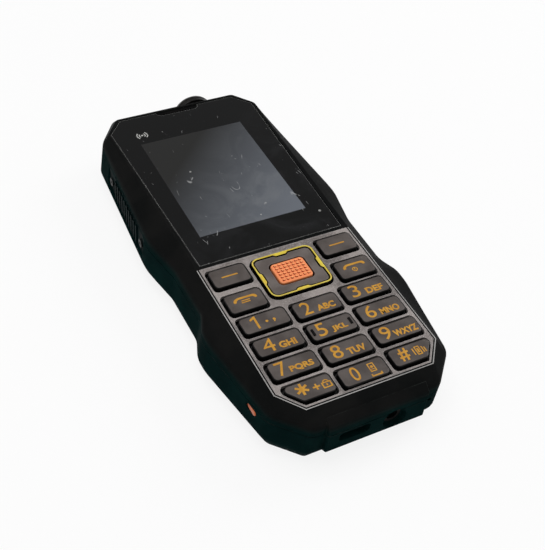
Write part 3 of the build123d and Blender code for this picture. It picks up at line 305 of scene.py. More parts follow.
windowLook = {"border": (0.0030, 0.0032, 0.0033), "reflectedHaze": (0.030, 0.031, 0.034), "hazeAmount": 0.35,
              "displayDark": (0.020, 0.020, 0.0195), "displayPaintedReflection": (0.135, 0.148, 0.172), "slant": (-0.047, 0.009),
              "smear": (0.215, 0.225, 0.235), "smearAmount": 0.34, "scratch": (0.50, 0.50, 0.50), "scratchAmount": 0.55,
              "dust": (0.55, 0.55, 0.53), "dustAmount": 0.5, "edgeHighlight": (0.60, 0.60, 0.58),
              "edge": {"Reach": 0.0003, "Amount": 0.75, "Patch_Size": 0.012, "Broken": 0.35},
              "marks": {"Smear_Size": 0.014, "Scratch_Size": 0.0075, "Dust_Size": 0.0030},
              "middle": (-0.0006, 0.0264), "half": (0.0181, 0.0239), "soft": 0.00025, "rough": (0.05, 0.16),
              "depth": 0.000003, "specular": 0.26}


def makeWindowGlass():
    # printed border in black, and the unlit display in the clear middle, painted on the glass; the display lightens
    # along a slant as a painted reflection, and smears there carry that painted reflection too
    s = windowLook
    material, tree, shader = newMaterial("windowGlass", s["specular"])
    along = put(tree, "ShaderNodeSeparateXYZ", {0: placeIn(tree)}).outputs
    past = []
    for i in (0, 1):
        away = mathNode(tree, "ABSOLUTE", mathNode(tree, "SUBTRACT", along[i], s["middle"][i]))
        past.append(mathNode(tree, "SUBTRACT", away, s["half"][i]))
    inside = ramp(tree, mathNode(tree, "MAXIMUM", *past), 0.0, -s["soft"])
    slant = mathNode(tree, "SUBTRACT", along[0], along[1])
    marks = useGroup(tree, handlingGroup, **s["marks"])
    # painted reflection: the display grows lighter along the slant towards one corner
    display = mixColor(tree, ramp(tree, slant, *s["slant"], smooth=False), s["displayDark"], s["displayPaintedReflection"])
    # smears, made lighter along the same slant as a painted reflection
    smearAndReflection = times(tree, marks["Smear"], ramp(tree, slant, *s["slant"]))
    display = mixColor(tree, times(tree, smearAndReflection, s["smearAmount"]), display, s["smear"])
    border = mixColor(tree, times(tree, smearAndReflection, s["hazeAmount"]), s["border"], s["reflectedHaze"])
    glass = mixColor(tree, inside, border, display)
    glass = mixColor(tree, times(tree, marks["Scratch"], s["scratchAmount"]), glass, s["scratch"])
    glass = mixColor(tree, times(tree, marks["Dust"], s["dustAmount"]), glass, s["dust"])
    # painted highlight: a light line along the glass's edges
    tree.links.new(mixColor(tree, wearAndHighlightMask(tree, s), glass, s["edgeHighlight"]), shader.inputs["Base Color"])
    tree.links.new(ramp(tree, marks["Smear"], 0.0, 1.0, *s["rough"]), shader.inputs["Roughness"])
    roughen(tree, shader, marks["Scratch"], s["depth"])
    return material


keyLook = {"top": (0.070, 0.058, 0.053), "topShade": (0.108, 0.092, 0.085), "skirt": (0.0018, 0.0016, 0.0016),
           "worn": (0.32, 0.30, 0.29), "edge": {"Reach": 0.00030, "Amount": 0.80, "Broken": 0.6},
           "grain": {"Size": 0.00020, "Cloud_Size": 0.007}, "depth": 0.000006, "rough": 0.40, "spread": 0.06,
           "specular": 0.26}


def makeKeyPaint(name, low, high, lighter=1.0):
    # satin paint on the top, unpainted black plastic down the sides below the two heights; the black band round the
    # top's edge also stands in for the dark gap round the key, a painted shade, and the light worn edge is partly wear
    # and partly painted highlight
    s = keyLook
    material, tree, shader, look = startFinish(name, s)
    top, topShade = (tuple(lighter * part for part in s[shade]) for shade in ("top", "topShade"))
    paint = mixColor(tree, wearAndHighlightMask(tree, s), mixColor(tree, look["Cloud"], top, topShade), s["worn"])
    endFinish(tree, shader, mixColor(tree, aboveMask(tree, low, high), s["skirt"], paint), look["Height"], s)
    return material


plateLook = {"dark": (0.142, 0.123, 0.117), "light": (0.335, 0.297, 0.282), "spark": (0.60, 0.56, 0.54),
             "flakes": (0.48, 0.72), "flakeAmount": 0.55, "bareEdgeHighlight": (0.66, 0.63, 0.61),
             "edge": {"Reach": 0.00022, "Amount": 0.65, "Broken": 0.3}, "grain": {"Size": 0.00030, "Cloud_Size": 0.013},
             "depth": 0.000012, "metal": 0.12, "rough": 0.40, "spread": 0.10, "specular": 0.35}


def makePlatePaint():
    # sprayed metallic paint: coarse bright flakes in a darker ground, and bright edges, partly metal worn through and
    # partly painted highlight
    s = plateLook
    material, tree, shader, look = startFinish("platePaint", s)
    ground = mixColor(tree, look["Cloud"], s["dark"], s["light"])
    flakes = times(tree, ramp(tree, look["Height"], *s["flakes"]), s["flakeAmount"])
    ground = mixColor(tree, flakes, ground, s["spark"])
    endFinish(tree, shader, mixColor(tree, wearAndHighlightMask(tree, s), ground, s["bareEdgeHighlight"]), look["Height"], s)
    return material


okLook = {"ground": (0.95, 0.30, 0.115), "wall": (0.40, 0.045, 0.016), "top": (1.0, 0.42, 0.165),
          "topShade": (0.98, 0.35, 0.13), "foot": (0.02056, 0.02059), "crest": (0.02084, 0.02089),
          "grain": {"Size": 0.00018, "Cloud_Size": 0.0035}, "depth": 0.000006, "rough": 0.42, "spread": 0.08,
          "specular": 0.4}


def makeOkPaint():
    # orange rubber; the bumps' sides are darker as painted shade, and their tops lighter as painted highlight
    s = okLook
    material, tree, shader, look = startFinish("okOrange", s)
    top = mixColor(tree, look["Cloud"], s["top"], s["topShade"])
    # painted shade: dark red on the bump walls between the two heights
    side = mixColor(tree, aboveMask(tree, *s["foot"]), s["ground"], s["wall"])
    endFinish(tree, shader, mixColor(tree, aboveMask(tree, *s["crest"]), side, top), look["Height"], s)
    return material


goldLook = {"bright": (0.96, 0.78, 0.10), "shade": (0.84, 0.60, 0.05), "glint": (1.0, 0.95, 0.50),
            "under": (0.0020, 0.0018, 0.0016), "low": 0.02030, "high": 0.02034,
            "edge": {"Reach": 0.00018, "Amount": 0.8, "Broken": 0.3}, "grain": {"Size": 0.0005, "Cloud_Size": 0.004},
            "depth": 0.000002, "metal": 0.25, "rough": 0.16, "spread": 0.05}


def makeGoldRim():
    # bright yellow metal finish along the top of the rim, with glints on its edges that are painted highlights, black
    # paint down its walls
    s = goldLook
    material, tree, shader, look = startFinish("goldRim", s)
    tint = mixColor(tree, look["Cloud"], s["bright"], s["shade"])
    # painted highlight: pale glints along the rim's edges
    tint = mixColor(tree, wearAndHighlightMask(tree, s), tint, s["glint"])
    endFinish(tree, shader, mixColor(tree, aboveMask(tree, s["low"], s["high"]), s["under"], tint), look["Height"], s)
    return material


lensLook = {"color": (0.95, 0.96, 0.96), "shade": 0.97, "grain": {"Size": 0.0006, "Cloud_Size": 0.004},
            "depth": 0.000002, "rough": 0.03, "spread": 0.015, "bend": 1.49}


def makeClearLens():
    s = lensLook
    material, tree, shader, look = startFinish("clearLens", s)
    shade = tuple(s["shade"] * part for part in s["color"])
    shader.inputs["Transmission Weight"].default_value = 1.0
    shader.inputs["IOR"].default_value = s["bend"]
    endFinish(tree, shader, mixColor(tree, look["Cloud"], s["color"], shade), look["Height"], s)
    return material


finishes = {
    "case_plastic": makeCasePlastic(),
    # these two heights set the black band round each key top's edge, which also stands in for the dark gap round the
    # key, a painted shade
    "key_plastic": makeKeyPaint("keyPaint", 0.02044, 0.02049),
    "keypad_metal": makePlatePaint(),
    "screen_glass": makeWindowGlass(),
    "ok_orange": makeOkPaint(),
    "clear_lens": makeClearLens(),
    # the trim's light silver colour is kept nearly matt and bright, so that it also stands in for its reflected
    # highlight, a painted reflection
    "bright_trim": finishOf("brightTrim", (0.56, 0.545, 0.53), (0.44, 0.43, 0.415), 0.24, 0.05, metal=0.15,
                            grain=0.0006, depth=0.000001, cloud=0.012),
    "gold_rim": makeGoldRim(),
    "display": finishOf("displayFace", (0.03, 0.031, 0.034), (0.045, 0.047, 0.05), 0.25, 0.05, depth=0.000002),
    "dark_plastic": finishOf("darkPlastic", (0.0060, 0.0060, 0.0060), (0.011, 0.010, 0.010), 0.50, depth=0.000012,
                             cloud=0.006, wornColor=(0.07, 0.07, 0.07), worn=0.3, specular=0.2),
    "white_plastic": finishOf("whitePlastic", (0.72, 0.72, 0.70), (0.66, 0.66, 0.63), 0.45, grain=0.0004,
                              depth=0.000008),
    # the green-blue tint of the side grips is a painted reflection, as on the case sides
    "grip_rubber": finishOf("gripRubber", (0.0014, 0.0050, 0.0053), (0.0020, 0.0105, 0.0108), 0.60, 0.10, grain=0.0002,
                            depth=0.000016, cloud=0.006, wornColor=(0.022, 0.034, 0.034), worn=0.3, specular=0.02),
    "silicone": finishOf("siliconeBlack", (0.0040, 0.0038, 0.0038), (0.0065, 0.006, 0.006), 0.60, specular=0.15),
    "screw_steel": finishOf("screwSteel", (0.42, 0.41, 0.40), (0.30, 0.29, 0.28), 0.30, metal=0.95, grain=0.00025,
                            depth=0.000006, cloud=0.002, wornColor=(0.7, 0.7, 0.7), worn=0.6, reach=0.0001),
    "steel_sheet": finishOf("steelSheet", (0.46, 0.46, 0.46), (0.36, 0.36, 0.37), 0.34, metal=0.95, depth=0.000005,
                            stretch=5.0, cloud=0.006, wornColor=(0.7, 0.7, 0.7), worn=0.4, reach=0.0001),
    "magnesium": finishOf("magnesium", (0.40, 0.41, 0.42), (0.31, 0.32, 0.33), 0.45, 0.10, metal=0.85, grain=0.0004,
                          depth=0.00002),
    "circuit_board": finishOf("circuitBoard", (0.010, 0.070, 0.035), (0.018, 0.105, 0.050), 0.40, grain=0.0006,
                              cloud=0.004, wornColor=(0.35, 0.28, 0.12)),
    "battery_wrap": finishOf("batteryWrap", (0.05, 0.052, 0.056), (0.035, 0.036, 0.040), 0.36, grain=0.0005,
                             depth=0.000008, cloud=0.010, wornColor=(0.22, 0.22, 0.22), worn=0.4),
    "contact_gold": finishOf("contactGold", (0.80, 0.58, 0.25), (0.66, 0.46, 0.18), 0.28, metal=0.95, grain=0.0002,
                             depth=0.000004),
    "torch_metal": finishOf("torchMetal", (0.0075, 0.0070, 0.0065), (0.012, 0.011, 0.010), 0.34, 0.06, metal=0.1,
                            grain=0.00018, depth=0.000005, stretch=4.0, cloud=0.004, wornColor=(0.11, 0.105, 0.10),
                            worn=0.4, reach=0.0003, specular=0.28),
    "reflector_chrome": finishOf("reflectorChrome", (0.86, 0.86, 0.87), (0.80, 0.80, 0.81), 0.10, 0.04, metal=1.0,
                                 grain=0.0006, depth=0.000002),
    "side_orange": finishOf("sideOrange", (0.62, 0.13, 0.030), (0.50, 0.095, 0.022), 0.40, grain=0.0002, depth=0.000006,
                            cloud=0.002, wornColor=(0.75, 0.30, 0.14), reach=0.0001),
    "dark_screw": finishOf("darkScrew", (0.012, 0.014, 0.014), (0.007, 0.009, 0.009), 0.45, metal=0.25,
                           grain=0.00025, depth=0.000006, cloud=0.002, wornColor=(0.08, 0.09, 0.09), worn=0.5,
                           reach=0.0001, specular=0.10),
    "dark_mesh": finishOf("darkMesh", (0.0030, 0.0030, 0.0030), (0.0055, 0.005, 0.005), 0.50, specular=0.1),
    "port_steel": finishOf("portSteel", (0.055, 0.055, 0.056), (0.032, 0.032, 0.034), 0.34, metal=0.8, stretch=4.0,
                           wornColor=(0.22, 0.22, 0.22), worn=0.5, reach=0.0001),
    "groove_black": finishOf("grooveBlack", (0.0020, 0.0018, 0.0018), (0.0035, 0.0032, 0.0032), 0.55, specular=0.1),
}
legendPaint = finishOf("legendPaint", (0.60, 0.300, 0.030), (0.50, 0.235, 0.022), 0.42, 0.06, grain=0.0002,
                       depth=0.000004, cloud=0.0018, specular=0.35)
whiteLegend = finishOf("whiteLegend", (0.50, 0.50, 0.48), (0.38, 0.38, 0.37), 0.5, 0.06, grain=0.0002, depth=0.000003)
# the navigation plate's black below its two heights also stands in for the dark gap inside the gold rim, a painted
# shade
navPaint = makeKeyPaint("navPaint", 0.02002, 0.02012, 1.45)
ownFinish = {"grip_screws": "dark_screw", "earpiece_grille": "dark_mesh", "usb_shell": "port_steel",
             "audio_jack": "dark_mesh"}

slotOf = {part["node"]: part["material_slot"] for part in frame["record"]["subparts"]}
for name, node in nodes.items():
    for slot in node.material_slots:
        slot.material = finishes[ownFinish.get(name, slotOf[name])]
print("finishes ready:", len(finishes))


def inScene(name, data):
    piece = bpy.data.objects.new(name, data)
    scene.collection.objects.link(piece)
    return piece


def settled(piece):
    # the mesh of an object with its modifiers or its text worked out
    bpy.context.view_layer.update()
    return bpy.data.meshes.new_from_object(piece.evaluated_get(bpy.context.evaluated_depsgraph_get()))


def toMesh(bm, name):
    mesh = bpy.data.meshes.new(name)
    bm.to_mesh(mesh)
    bm.free()
    return mesh


def merge(bm, reach=looseSame):
    bmesh.ops.remove_doubles(bm, verts=bm.verts, dist=reach)


def turnOut(bm):
    bmesh.ops.recalc_face_normals(bm, faces=bm.faces)


def meshOf(bm, name):
    merge(bm, samePoint)
    turnOut(bm)
    return toMesh(bm, name)


def finishMesh(bm, name, material, body, sharp=28.0, weighted=True):
    return showMesh(meshOf(bm, name), name, material, body, sharp, weighted)


def showMesh(mesh, name, material, body, sharp=28.0, weighted=True):
    mesh.name = name
    mesh.materials.clear()
    mesh.materials.append(material)
    mesh.polygons.foreach_set("use_smooth", [True] * len(mesh.polygons))
    mesh.polygons.foreach_set("material_index", [0] * len(mesh.polygons))
    mesh.set_sharp_from_angle(angle=radians(sharp))
    piece = inScene(name, mesh)
    if weighted:
        even = piece.modifiers.new("evenNormals", "WEIGHTED_NORMAL")
        even.keep_sharp = True
    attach(piece, body)
    return piece


def bothSides(rightSide):
    return rightSide + [(-x, y) for x, y in reversed(rightSide)]


def faceFrom(bm, points, z):
    verts = [bm.verts.new((x * mm, y * mm, z * mm)) for x, y in points]
    return bm.faces.new(verts)


def atLevel(part, z):
    return all(abs(v.co.z - z * mm) < samePoint for v in part.verts)


def vertsIn(made):
    return [v for v in made["geom"] if isinstance(v, bmesh.types.BMVert)]


def everything(bm):
    return bm.verts[:] + bm.edges[:] + bm.faces[:]


def pushUp(bm, face, height):
    verts = vertsIn(bmesh.ops.extrude_face_region(bm, geom=[face]))
    bmesh.ops.translate(bm, vec=(0.0, 0.0, height * mm), verts=verts)
    return verts


def rounded(bm, geom, offset, affect="EDGES", **more):
    bmesh.ops.bevel(bm, geom=geom, offset=offset * mm, offset_type="OFFSET", segments=3, profile=0.5, affect=affect,
                    material=-1, **more)


def turned(bm, points, centre, axis, steps, closed=False):
    # a profile spun once round an axis
    verts = [bm.verts.new(point) for point in points]
    ends = verts[1:] + verts[:1] if closed else verts[1:]
    edges = [bm.edges.new(pair) for pair in zip(verts, ends)]
    bmesh.ops.spin(bm, geom=verts + edges, cent=centre, axis=axis, dvec=(0.0, 0.0, 0.0), angle=2 * pi, steps=steps,
                   use_merge=True)


def bridged(bm, loops):
    for first, second in zip(loops, loops[1:]):
        bmesh.ops.bridge_loops(bm, edges=first + second)


def ringFrom(bm, points, z, rounding):
    # a flat face whose corners are rounded and whose long sides are divided
    face = faceFrom(bm, points, z)
    rounded(bm, list(face.verts), rounding, "VERTICES")
    sides = [e for e in bm.edges if atLevel(e, z) and e.calc_length() > skinSizes["longSide"] * mm]
    bmesh.ops.subdivide_edges(bm, edges=sides, cuts=skinSizes["divide"])
    return [f for f in bm.faces if atLevel(f, z)][0]


def combined(baseMesh, otherMesh, operation, name):
    # the boolean of two closed meshes, as a new mesh
    base, other = inScene(name + "Base", baseMesh), inScene(name + "Other", otherMesh)
    cut = base.modifiers.new("cut", "BOOLEAN")
    cut.operation = operation
    cut.object = other
    cut.solver = "EXACT"
    made = settled(base)
    bpy.data.objects.remove(base)
    bpy.data.objects.remove(other)
    return made


# the outside: rim, crease and skirt are the outlines at the three heights, and under is how far the skin lies
# below the frame's own faces
skinSizes = {"rimZ": 19.6, "creaseZ": 16.4, "skirtZ": 5.1, "taper": 2.6, "under": 0.04, "floorBand": 1.0,
             "creaseRound": 0.9, "skirtRound": 0.8, "backRound": 0.7, "rimRound": 0.22, "cornerRound": 1.5,
             "rimCorner": 0.75, "seamZ": 13.0, "seamHalf": 0.11, "seamDepth": 0.22, "seamSlack": 0.01,
             "ridgeHalf": 15.6, "ridgeRound": 0.45, "ridgeFront": -71.5, "longSide": 4.9, "divide": 5,
             "skirtOut": 1.2, "rimHalf": 25.4, "flareFrom": -8.75, "flareOut": 1.5, "flareLong": 67.3}
creaseSide = [(19.6, -71.45), (28.1, -62.25), (32.1, -34.05), (32.1, -29.25), (29.6, -23.15), (29.6, -4.45),
              (32.1, 8.95), (32.1, 12.55), (28.9, 59.05), (21.6, 68.95)]
skirtSide = ([(20.05, -70.55), (28.55, -61.35)] + [(x + skinSizes["skirtOut"], y) for x, y in creaseSide[2:9]]
             + [(22.2, 68.95)])
rimSide = ([(19.75, -66.6), (25.4, -59.25)]
           + [(skinSizes["rimHalf"] + max(0.0, y - skinSizes["flareFrom"]) * skinSizes["flareOut"]
               / skinSizes["flareLong"], y) for _, y in creaseSide[2:8]]
           + [(26.9, 58.55), (21.4, 65.45)])
ridgeProfile = [(-69.85, 18.0), (-72.55, 16.0), (-72.55, 5.9), (-69.85, 4.3)]


def edgesAt(bm, z, flattest=0.05):
    # the edges at a height that turn by more than an angle in radians
    level = z * mm
    return [e for e in bm.edges if all(abs(v.co.z - level) < looseSame for v in e.verts)
            and len(e.link_faces) == 2 and e.calc_face_angle(0.0) > flattest]


def makeSkin():
    # the whole outside of the phone as one closed, softly edged solid
    s = skinSizes
    bm = bmesh.new()
    rim = ringFrom(bm, bothSides(rimSide), s["rimZ"], s["rimCorner"])
    crease = ringFrom(bm, bothSides(creaseSide), s["creaseZ"], s["cornerRound"])
    skirt = ringFrom(bm, bothSides(skirtSide), s["skirtZ"], s["cornerRound"])
    loops = [list(face.edges) for face in (rim, crease, skirt)]
    bmesh.ops.delete(bm, geom=[crease], context="FACES_ONLY")
    bridged(bm, loops)
    turnOut(bm)
    bottom = [f for f in bm.faces if atLevel(f, s["skirtZ"])]
    bmesh.ops.inset_region(bm, faces=bottom, thickness=s["taper"] * mm, depth=s["skirtZ"] * mm, use_even_offset=True)
    for vert in bm.verts:
        if vert.co.z < s["floorBand"] * mm:
            vert.co.z = 0.0
    for level, amount in ((s["creaseZ"], "creaseRound"), (s["skirtZ"], "skirtRound"), (0.0, "backRound"),
                          (s["rimZ"], "rimRound")):
        rounded(bm, edgesAt(bm, level), s[amount], clamp_overlap=True)
    body = meshOf(bm, "skinBody")
    bm = bmesh.new()
    half = s["ridgeHalf"] * mm
    face = bm.faces.new([bm.verts.new((-half, y * mm, z * mm)) for y, z in ridgeProfile])
    pushed = vertsIn(bmesh.ops.extrude_face_region(bm, geom=[face]))
    bmesh.ops.translate(bm, vec=(2 * half, 0.0, 0.0), verts=pushed)
    turnOut(bm)
    front = s["ridgeFront"] * mm
    outer = [e for e in bm.edges if all(v.co.y < front for v in e.verts)
             or (abs(e.verts[0].co.x - e.verts[1].co.x) < samePoint and min(v.co.y for v in e.verts) < front)]
    rounded(bm, outer, s["ridgeRound"])
    whole = combined(body, meshOf(bm, "skinRidge"), "UNION", "skin")
    bm = bmesh.new()
    bm.from_mesh(whole)
    merge(bm)
    for z in (s["seamZ"] - s["seamHalf"], s["seamZ"] + s["seamHalf"]):
        bmesh.ops.bisect_plane(bm, geom=everything(bm), plane_co=(0.0, 0.0, z * mm), plane_no=(0.0, 0.0, 1.0),
                               dist=samePoint)
    bm.normal_update()
    reach = (s["seamHalf"] + s["seamSlack"]) * mm
    band = [f for f in bm.faces if all(abs(v.co.z - s["seamZ"] * mm) < reach for v in f.verts)]
    bmesh.ops.inset_region(bm, faces=band, thickness=0.0, depth=-s["seamDepth"] * mm)
    bm.normal_update()
    for vert in bm.verts:
        vert.co -= vert.normal * s["under"] * mm
    turnOut(bm)
    return toMesh(bm, "skin")


def mergedCopy(name):
    bm = bmesh.new()
    bm.from_mesh(nodes[name].data)
    merge(bm)
    return toMesh(bm, name + "Merged")


fewestFaces = 50  # a shell with fewer has failed
skin = makeSkin()
print("skin has", len(skin.polygons), "faces")
for nodeName, shellName, body in (("front_case", "frontShell", "case"), ("rear_case", "rearShell", "case"),
                                  ("battery_cover", "coverShell", "battery_cover")):
    shell = combined(mergedCopy(nodeName), skin.copy(), "INTERSECT", shellName)
    if len(shell.polygons) < fewestFaces:
        print("no shell for", nodeName, "so its own mesh stays")
        continue
    piece = showMesh(shell, shellName, finishes["case_plastic"], body, sharp=24.0)
    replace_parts(piece, nodeName)
    print(shellName, "has", len(shell.polygons), "faces")

# the wedges are the flat-topped steps in the middle of the frame's sides, long and short their half lengths
navSizes = {"centre": (0.0, -20.85), "size": (19.9, 16.2), "corner": 2.4, "rim": 0.50, "wedge": 0.62,
            "wedgeHalves": (2.45, 1.65), "topHalves": (2.30, 1.40), "faceHalves": (2.50, 1.70), "topWedge": 0.75,
            "low": 18.1, "top": 20.52, "dip": 0.02, "faceZ": 20.28, "lowZ": 17.6, "bevel": 0.14, "gap": 0.42,
            "chamfer": 0.12, "innerSlope": 0.14, "okHole": (11.7, 9.1), "okCorner": 1.6, "cornerSteps": 6}
keyNames = [name for name in nodes if name.startswith("key_") and name != "key_ok"]
# beside, below and above are how much wider than a key its opening is; each step of a strip is across and up
plateSizes = {"beside": 0.72, "below": 0.80, "above": 1.10, "keyLevel": 19.7, "navOpening": (21.3, 17.7),
              "navCorner": 3.2, "cutLow": 18.2, "cutHigh": 20.2,
              "outline": [(19.70, -66.55), (25.4, -59.2), (25.4, -9.2)], "end": -10.15}
trimSizes = {"low": 19.55, "steps": [(0.12, 0.12), (0.03, 0.0), (0.15, -0.12)], "thick": 0.3}
grooveSizes = {"inset": 0.28, "low": 19.52, "steps": [(0.46, 0.0)], "thick": 0.1}
lipSizes = {"inset": 0.72, "low": 19.58, "steps": [(0.14, 0.08), (0.40, -0.05)], "thick": 0.1}


def roundedRectangle(width, height, corner, steps):
    points = []
    for quarter, (signX, signY) in enumerate(((1, 1), (-1, 1), (-1, -1), (1, -1))):
        for step in range(steps + 1):
            turn = quarter * pi / 2 + step * pi / 2 / steps
            points.append((signX * (width / 2 - corner) + corner * cos(turn),
                           signY * (height / 2 - corner) + corner * sin(turn)))
    return points


def keyOutline(name):
    # the plan of a key, grown by a distance of its own beside, below and above the key
    flat = [v.co.xy for v in nodes[name].data.vertices if v.co.z > plateSizes["keyLevel"] * mm]
    hull = [flat[i] / mm for i in convex_hull_2d(flat)]
    middle = [(min(p[i] for p in hull) + max(p[i] for p in hull)) / 2 for i in (0, 1)]
    half = [max(p[i] for p in hull) - middle[i] for i in (0, 1)]
    grown = []
    for x, y in hull:
        along = plateSizes["above" if y > middle[1] else "below"]
        grown.append((middle[0] + (x - middle[0]) * (1 + plateSizes["beside"] / half[0]),
                      middle[1] + (y - middle[1]) * (1 + along / half[1])))
    return grown


def makePlate():
    # the flat metal sheet round the keys, its windows cut a little wider than the keys
    bm = bmesh.new()
    tall = plateSizes["cutHigh"] - plateSizes["cutLow"]
    for name in keyNames:
        pushUp(bm, faceFrom(bm, keyOutline(name), plateSizes["cutLow"]), tall)
    navPlan = roundedRectangle(*plateSizes["navOpening"], plateSizes["navCorner"], navSizes["cornerSteps"])
    pushUp(bm, faceFrom(bm, [(x, y + navSizes["centre"][1]) for x, y in navPlan], plateSizes["cutLow"]), tall)
    sheet = combined(mergedCopy("keypad_plate"), meshOf(bm, "plateCutters"), "DIFFERENCE", "plateSheet")
    return showMesh(sheet, "plateSheet", finishes["keypad_metal"], "case", weighted=False)


def makeStrip(name, sizes, finish):
    # a strip that follows the foot and sides of the plate, open at the window end
    bm = bmesh.new()
    face = faceFrom(bm, bothSides(plateSizes["outline"]), sizes["low"])
    bmesh.ops.recalc_face_normals(bm, faces=[face])
    if face.normal.z < 0:
        face.normal_flip()
    if "inset" in sizes:
        outer = bmesh.ops.inset_region(bm, faces=[face], thickness=sizes["inset"] * mm, use_boundary=True,
                                       use_even_offset=True)["faces"]
        bmesh.ops.delete(bm, geom=outer, context="FACES")
    for across, rise in sizes["steps"]:
        bmesh.ops.inset_region(bm, faces=[face], thickness=across * mm, depth=rise * mm, use_boundary=True,
                               use_even_offset=True)
    bmesh.ops.delete(bm, geom=[face], context="FACES")
    bmesh.ops.bisect_plane(bm, geom=everything(bm), plane_co=(0.0, plateSizes["end"] * mm, 0.0),
                           plane_no=(0.0, 1.0, 0.0), dist=samePoint, clear_outer=True)
    lower = vertsIn(bmesh.ops.extrude_face_region(bm, geom=bm.faces[:], use_keep_orig=True))
    bmesh.ops.translate(bm, vec=(0.0, 0.0, -sizes["thick"] * mm), verts=lower)
    return finishMesh(bm, name, finishes[finish], "case", sharp=20.0, weighted=False)


def wedgedRing(inset, wedge, halves):
    # the navigation key's plan, inset, with a flat-topped wedge inwards in each of its four sides
    points = []
    width, height = (side - 2 * inset for side in navSizes["size"])
    longHalf, shortHalf = halves
    plain = roundedRectangle(width, height, navSizes["corner"] - inset, navSizes["cornerSteps"])
    perCorner = navSizes["cornerSteps"] + 1
    for quarter in range(4):
        points += plain[quarter * perCorner:(quarter + 1) * perCorner]
        side = [(longHalf, 0.0), (shortHalf, wedge), (-shortHalf, wedge), (-longHalf, 0.0)]
        turn = (quarter + 1) % 4
        for along, inward in side:
            spot = {0: (width / 2 - inward, -along), 1: (along, height / 2 - inward),
                    2: (-width / 2 + inward, along), 3: (-along, -height / 2 + inward)}[turn]
            points.append(spot)
    return points


def navLoop(bm, points, z):
    # a closed loop of edges round the middle of the navigation key
    across, along = navSizes["centre"]
    verts = [bm.verts.new(((x + across) * mm, (y + along) * mm, z * mm)) for x, y in points]
    return [bm.edges.new(pair) for pair in zip(verts, verts[1:] + verts[:1])]


def makeNavRim():
    # glossy gold frame: outer wall, top, and an inner edge with the four wedges
    s = navSizes
    bm = bmesh.new()
    rim, bevel, halves = s["rim"], s["bevel"], s["wedgeHalves"]
    outer = wedgedRing(0.0, 0.0, halves)
    outerTop = wedgedRing(bevel, 0.0, halves)
    inner = wedgedRing(rim, s["wedge"], halves)
    innerTop = wedgedRing(rim - s["innerSlope"], s["wedge"] * s["topWedge"], s["topHalves"])
    rings = [(outer, s["low"]), (outer, s["top"] - bevel), (outerTop, s["top"]), (innerTop, s["top"] - s["dip"]),
             (inner, s["faceZ"] + s["dip"]), (inner, s["low"])]
    loops = [navLoop(bm, points, z) for points, z in rings]
    bridged(bm, loops + loops[:1])
    return finishMesh(bm, "navRimRing", finishes["gold_rim"], "nav_rocker", sharp=32.0)


def makeNavFace():
    # the satin plate between the gold frame and the middle key
    s = navSizes
    bm = bmesh.new()
    steps, chamfer, inset = s["cornerSteps"], s["chamfer"], s["rim"] + s["gap"]
    outer = wedgedRing(inset, s["wedge"], s["faceHalves"])
    outerIn = wedgedRing(inset + chamfer, s["wedge"], s["faceHalves"])
    hole = roundedRectangle(*s["okHole"], s["okCorner"], steps)
    holeOut = roundedRectangle(*(side + 2 * chamfer for side in s["okHole"]), s["okCorner"] + chamfer, steps)
    sides = []
    for wall, shoulder in ((outer, outerIn), (hole, holeOut)):
        loops = [navLoop(bm, points, z) for points, z in
                 ((wall, s["lowZ"]), (wall, s["faceZ"] - chamfer), (shoulder, s["faceZ"]))]
        bridged(bm, loops)
        sides.append(loops)
    for level in (0, 2):
        bmesh.ops.triangle_fill(bm, use_beauty=True, edges=sides[0][level] + sides[1][level])
    return finishMesh(bm, "navFacePlate", navPaint, "nav_rocker", sharp=32.0)


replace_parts(makePlate(), "keypad_plate")
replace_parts(makeStrip("trimRidge", trimSizes, "bright_trim"), "plate_trim")
# a flat black strip for the dark groove between plate and trim, a painted shade
makeStrip("grooveShadeStrip", grooveSizes, "groove_black")
makeStrip("plateLip", lipSizes, "keypad_metal")
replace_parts(makeNavRim(), "nav_rim")
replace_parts(makeNavFace(), "nav_key")
print("plate, trim and navigation key built")

okSizes = {"top": 20.55, "columns": 7, "rows": 6, "pitch": (1.36, 1.18), "bump": (0.86, 0.74), "corner": 0.14,
           "cornerSteps": 2, "root": 0.05, "rise": 0.36, "draft": 0.24}


def makeOkBumps():
    # small tapered blocks in rows on top of the middle key
    s = okSizes
    bm = bmesh.new()
    shrink = 1 - s["draft"] / s["bump"][1]
    for column in range(s["columns"]):
        for row in range(s["rows"]):
            x = (column - (s["columns"] - 1) / 2) * s["pitch"][0]
            y = navSizes["centre"][1] + (row - (s["rows"] - 1) / 2) * s["pitch"][1]
            plan = roundedRectangle(*s["bump"], s["corner"], s["cornerSteps"])
            base = faceFrom(bm, [(x + px, y + py) for px, py in plan], s["top"] - s["root"])
            top = pushUp(bm, base, s["rise"] + s["root"])
            bmesh.ops.scale(bm, vec=(shrink, shrink, 1.0), verts=top,
                            space=Matrix.Translation((-x * mm, -y * mm, 0.0)))
    return finishMesh(bm, "okBumps", finishes["ok_orange"], "ok_key", sharp=25.0, weighted=False)


makeOkBumps()

# the outline of the digit named last folds over itself when it is made bolder
legendSizes = {"keyTop": 20.5, "sink": 0.03, "rise": 0.035, "stagger": 0.004, "digit": 4.6, "letters": 2.3,
               "base": -2.1, "digitBold": 0.004, "letterBold": 0.042, "unbolded": "4", "extrude": 0.01,
               "curveSteps": 4}
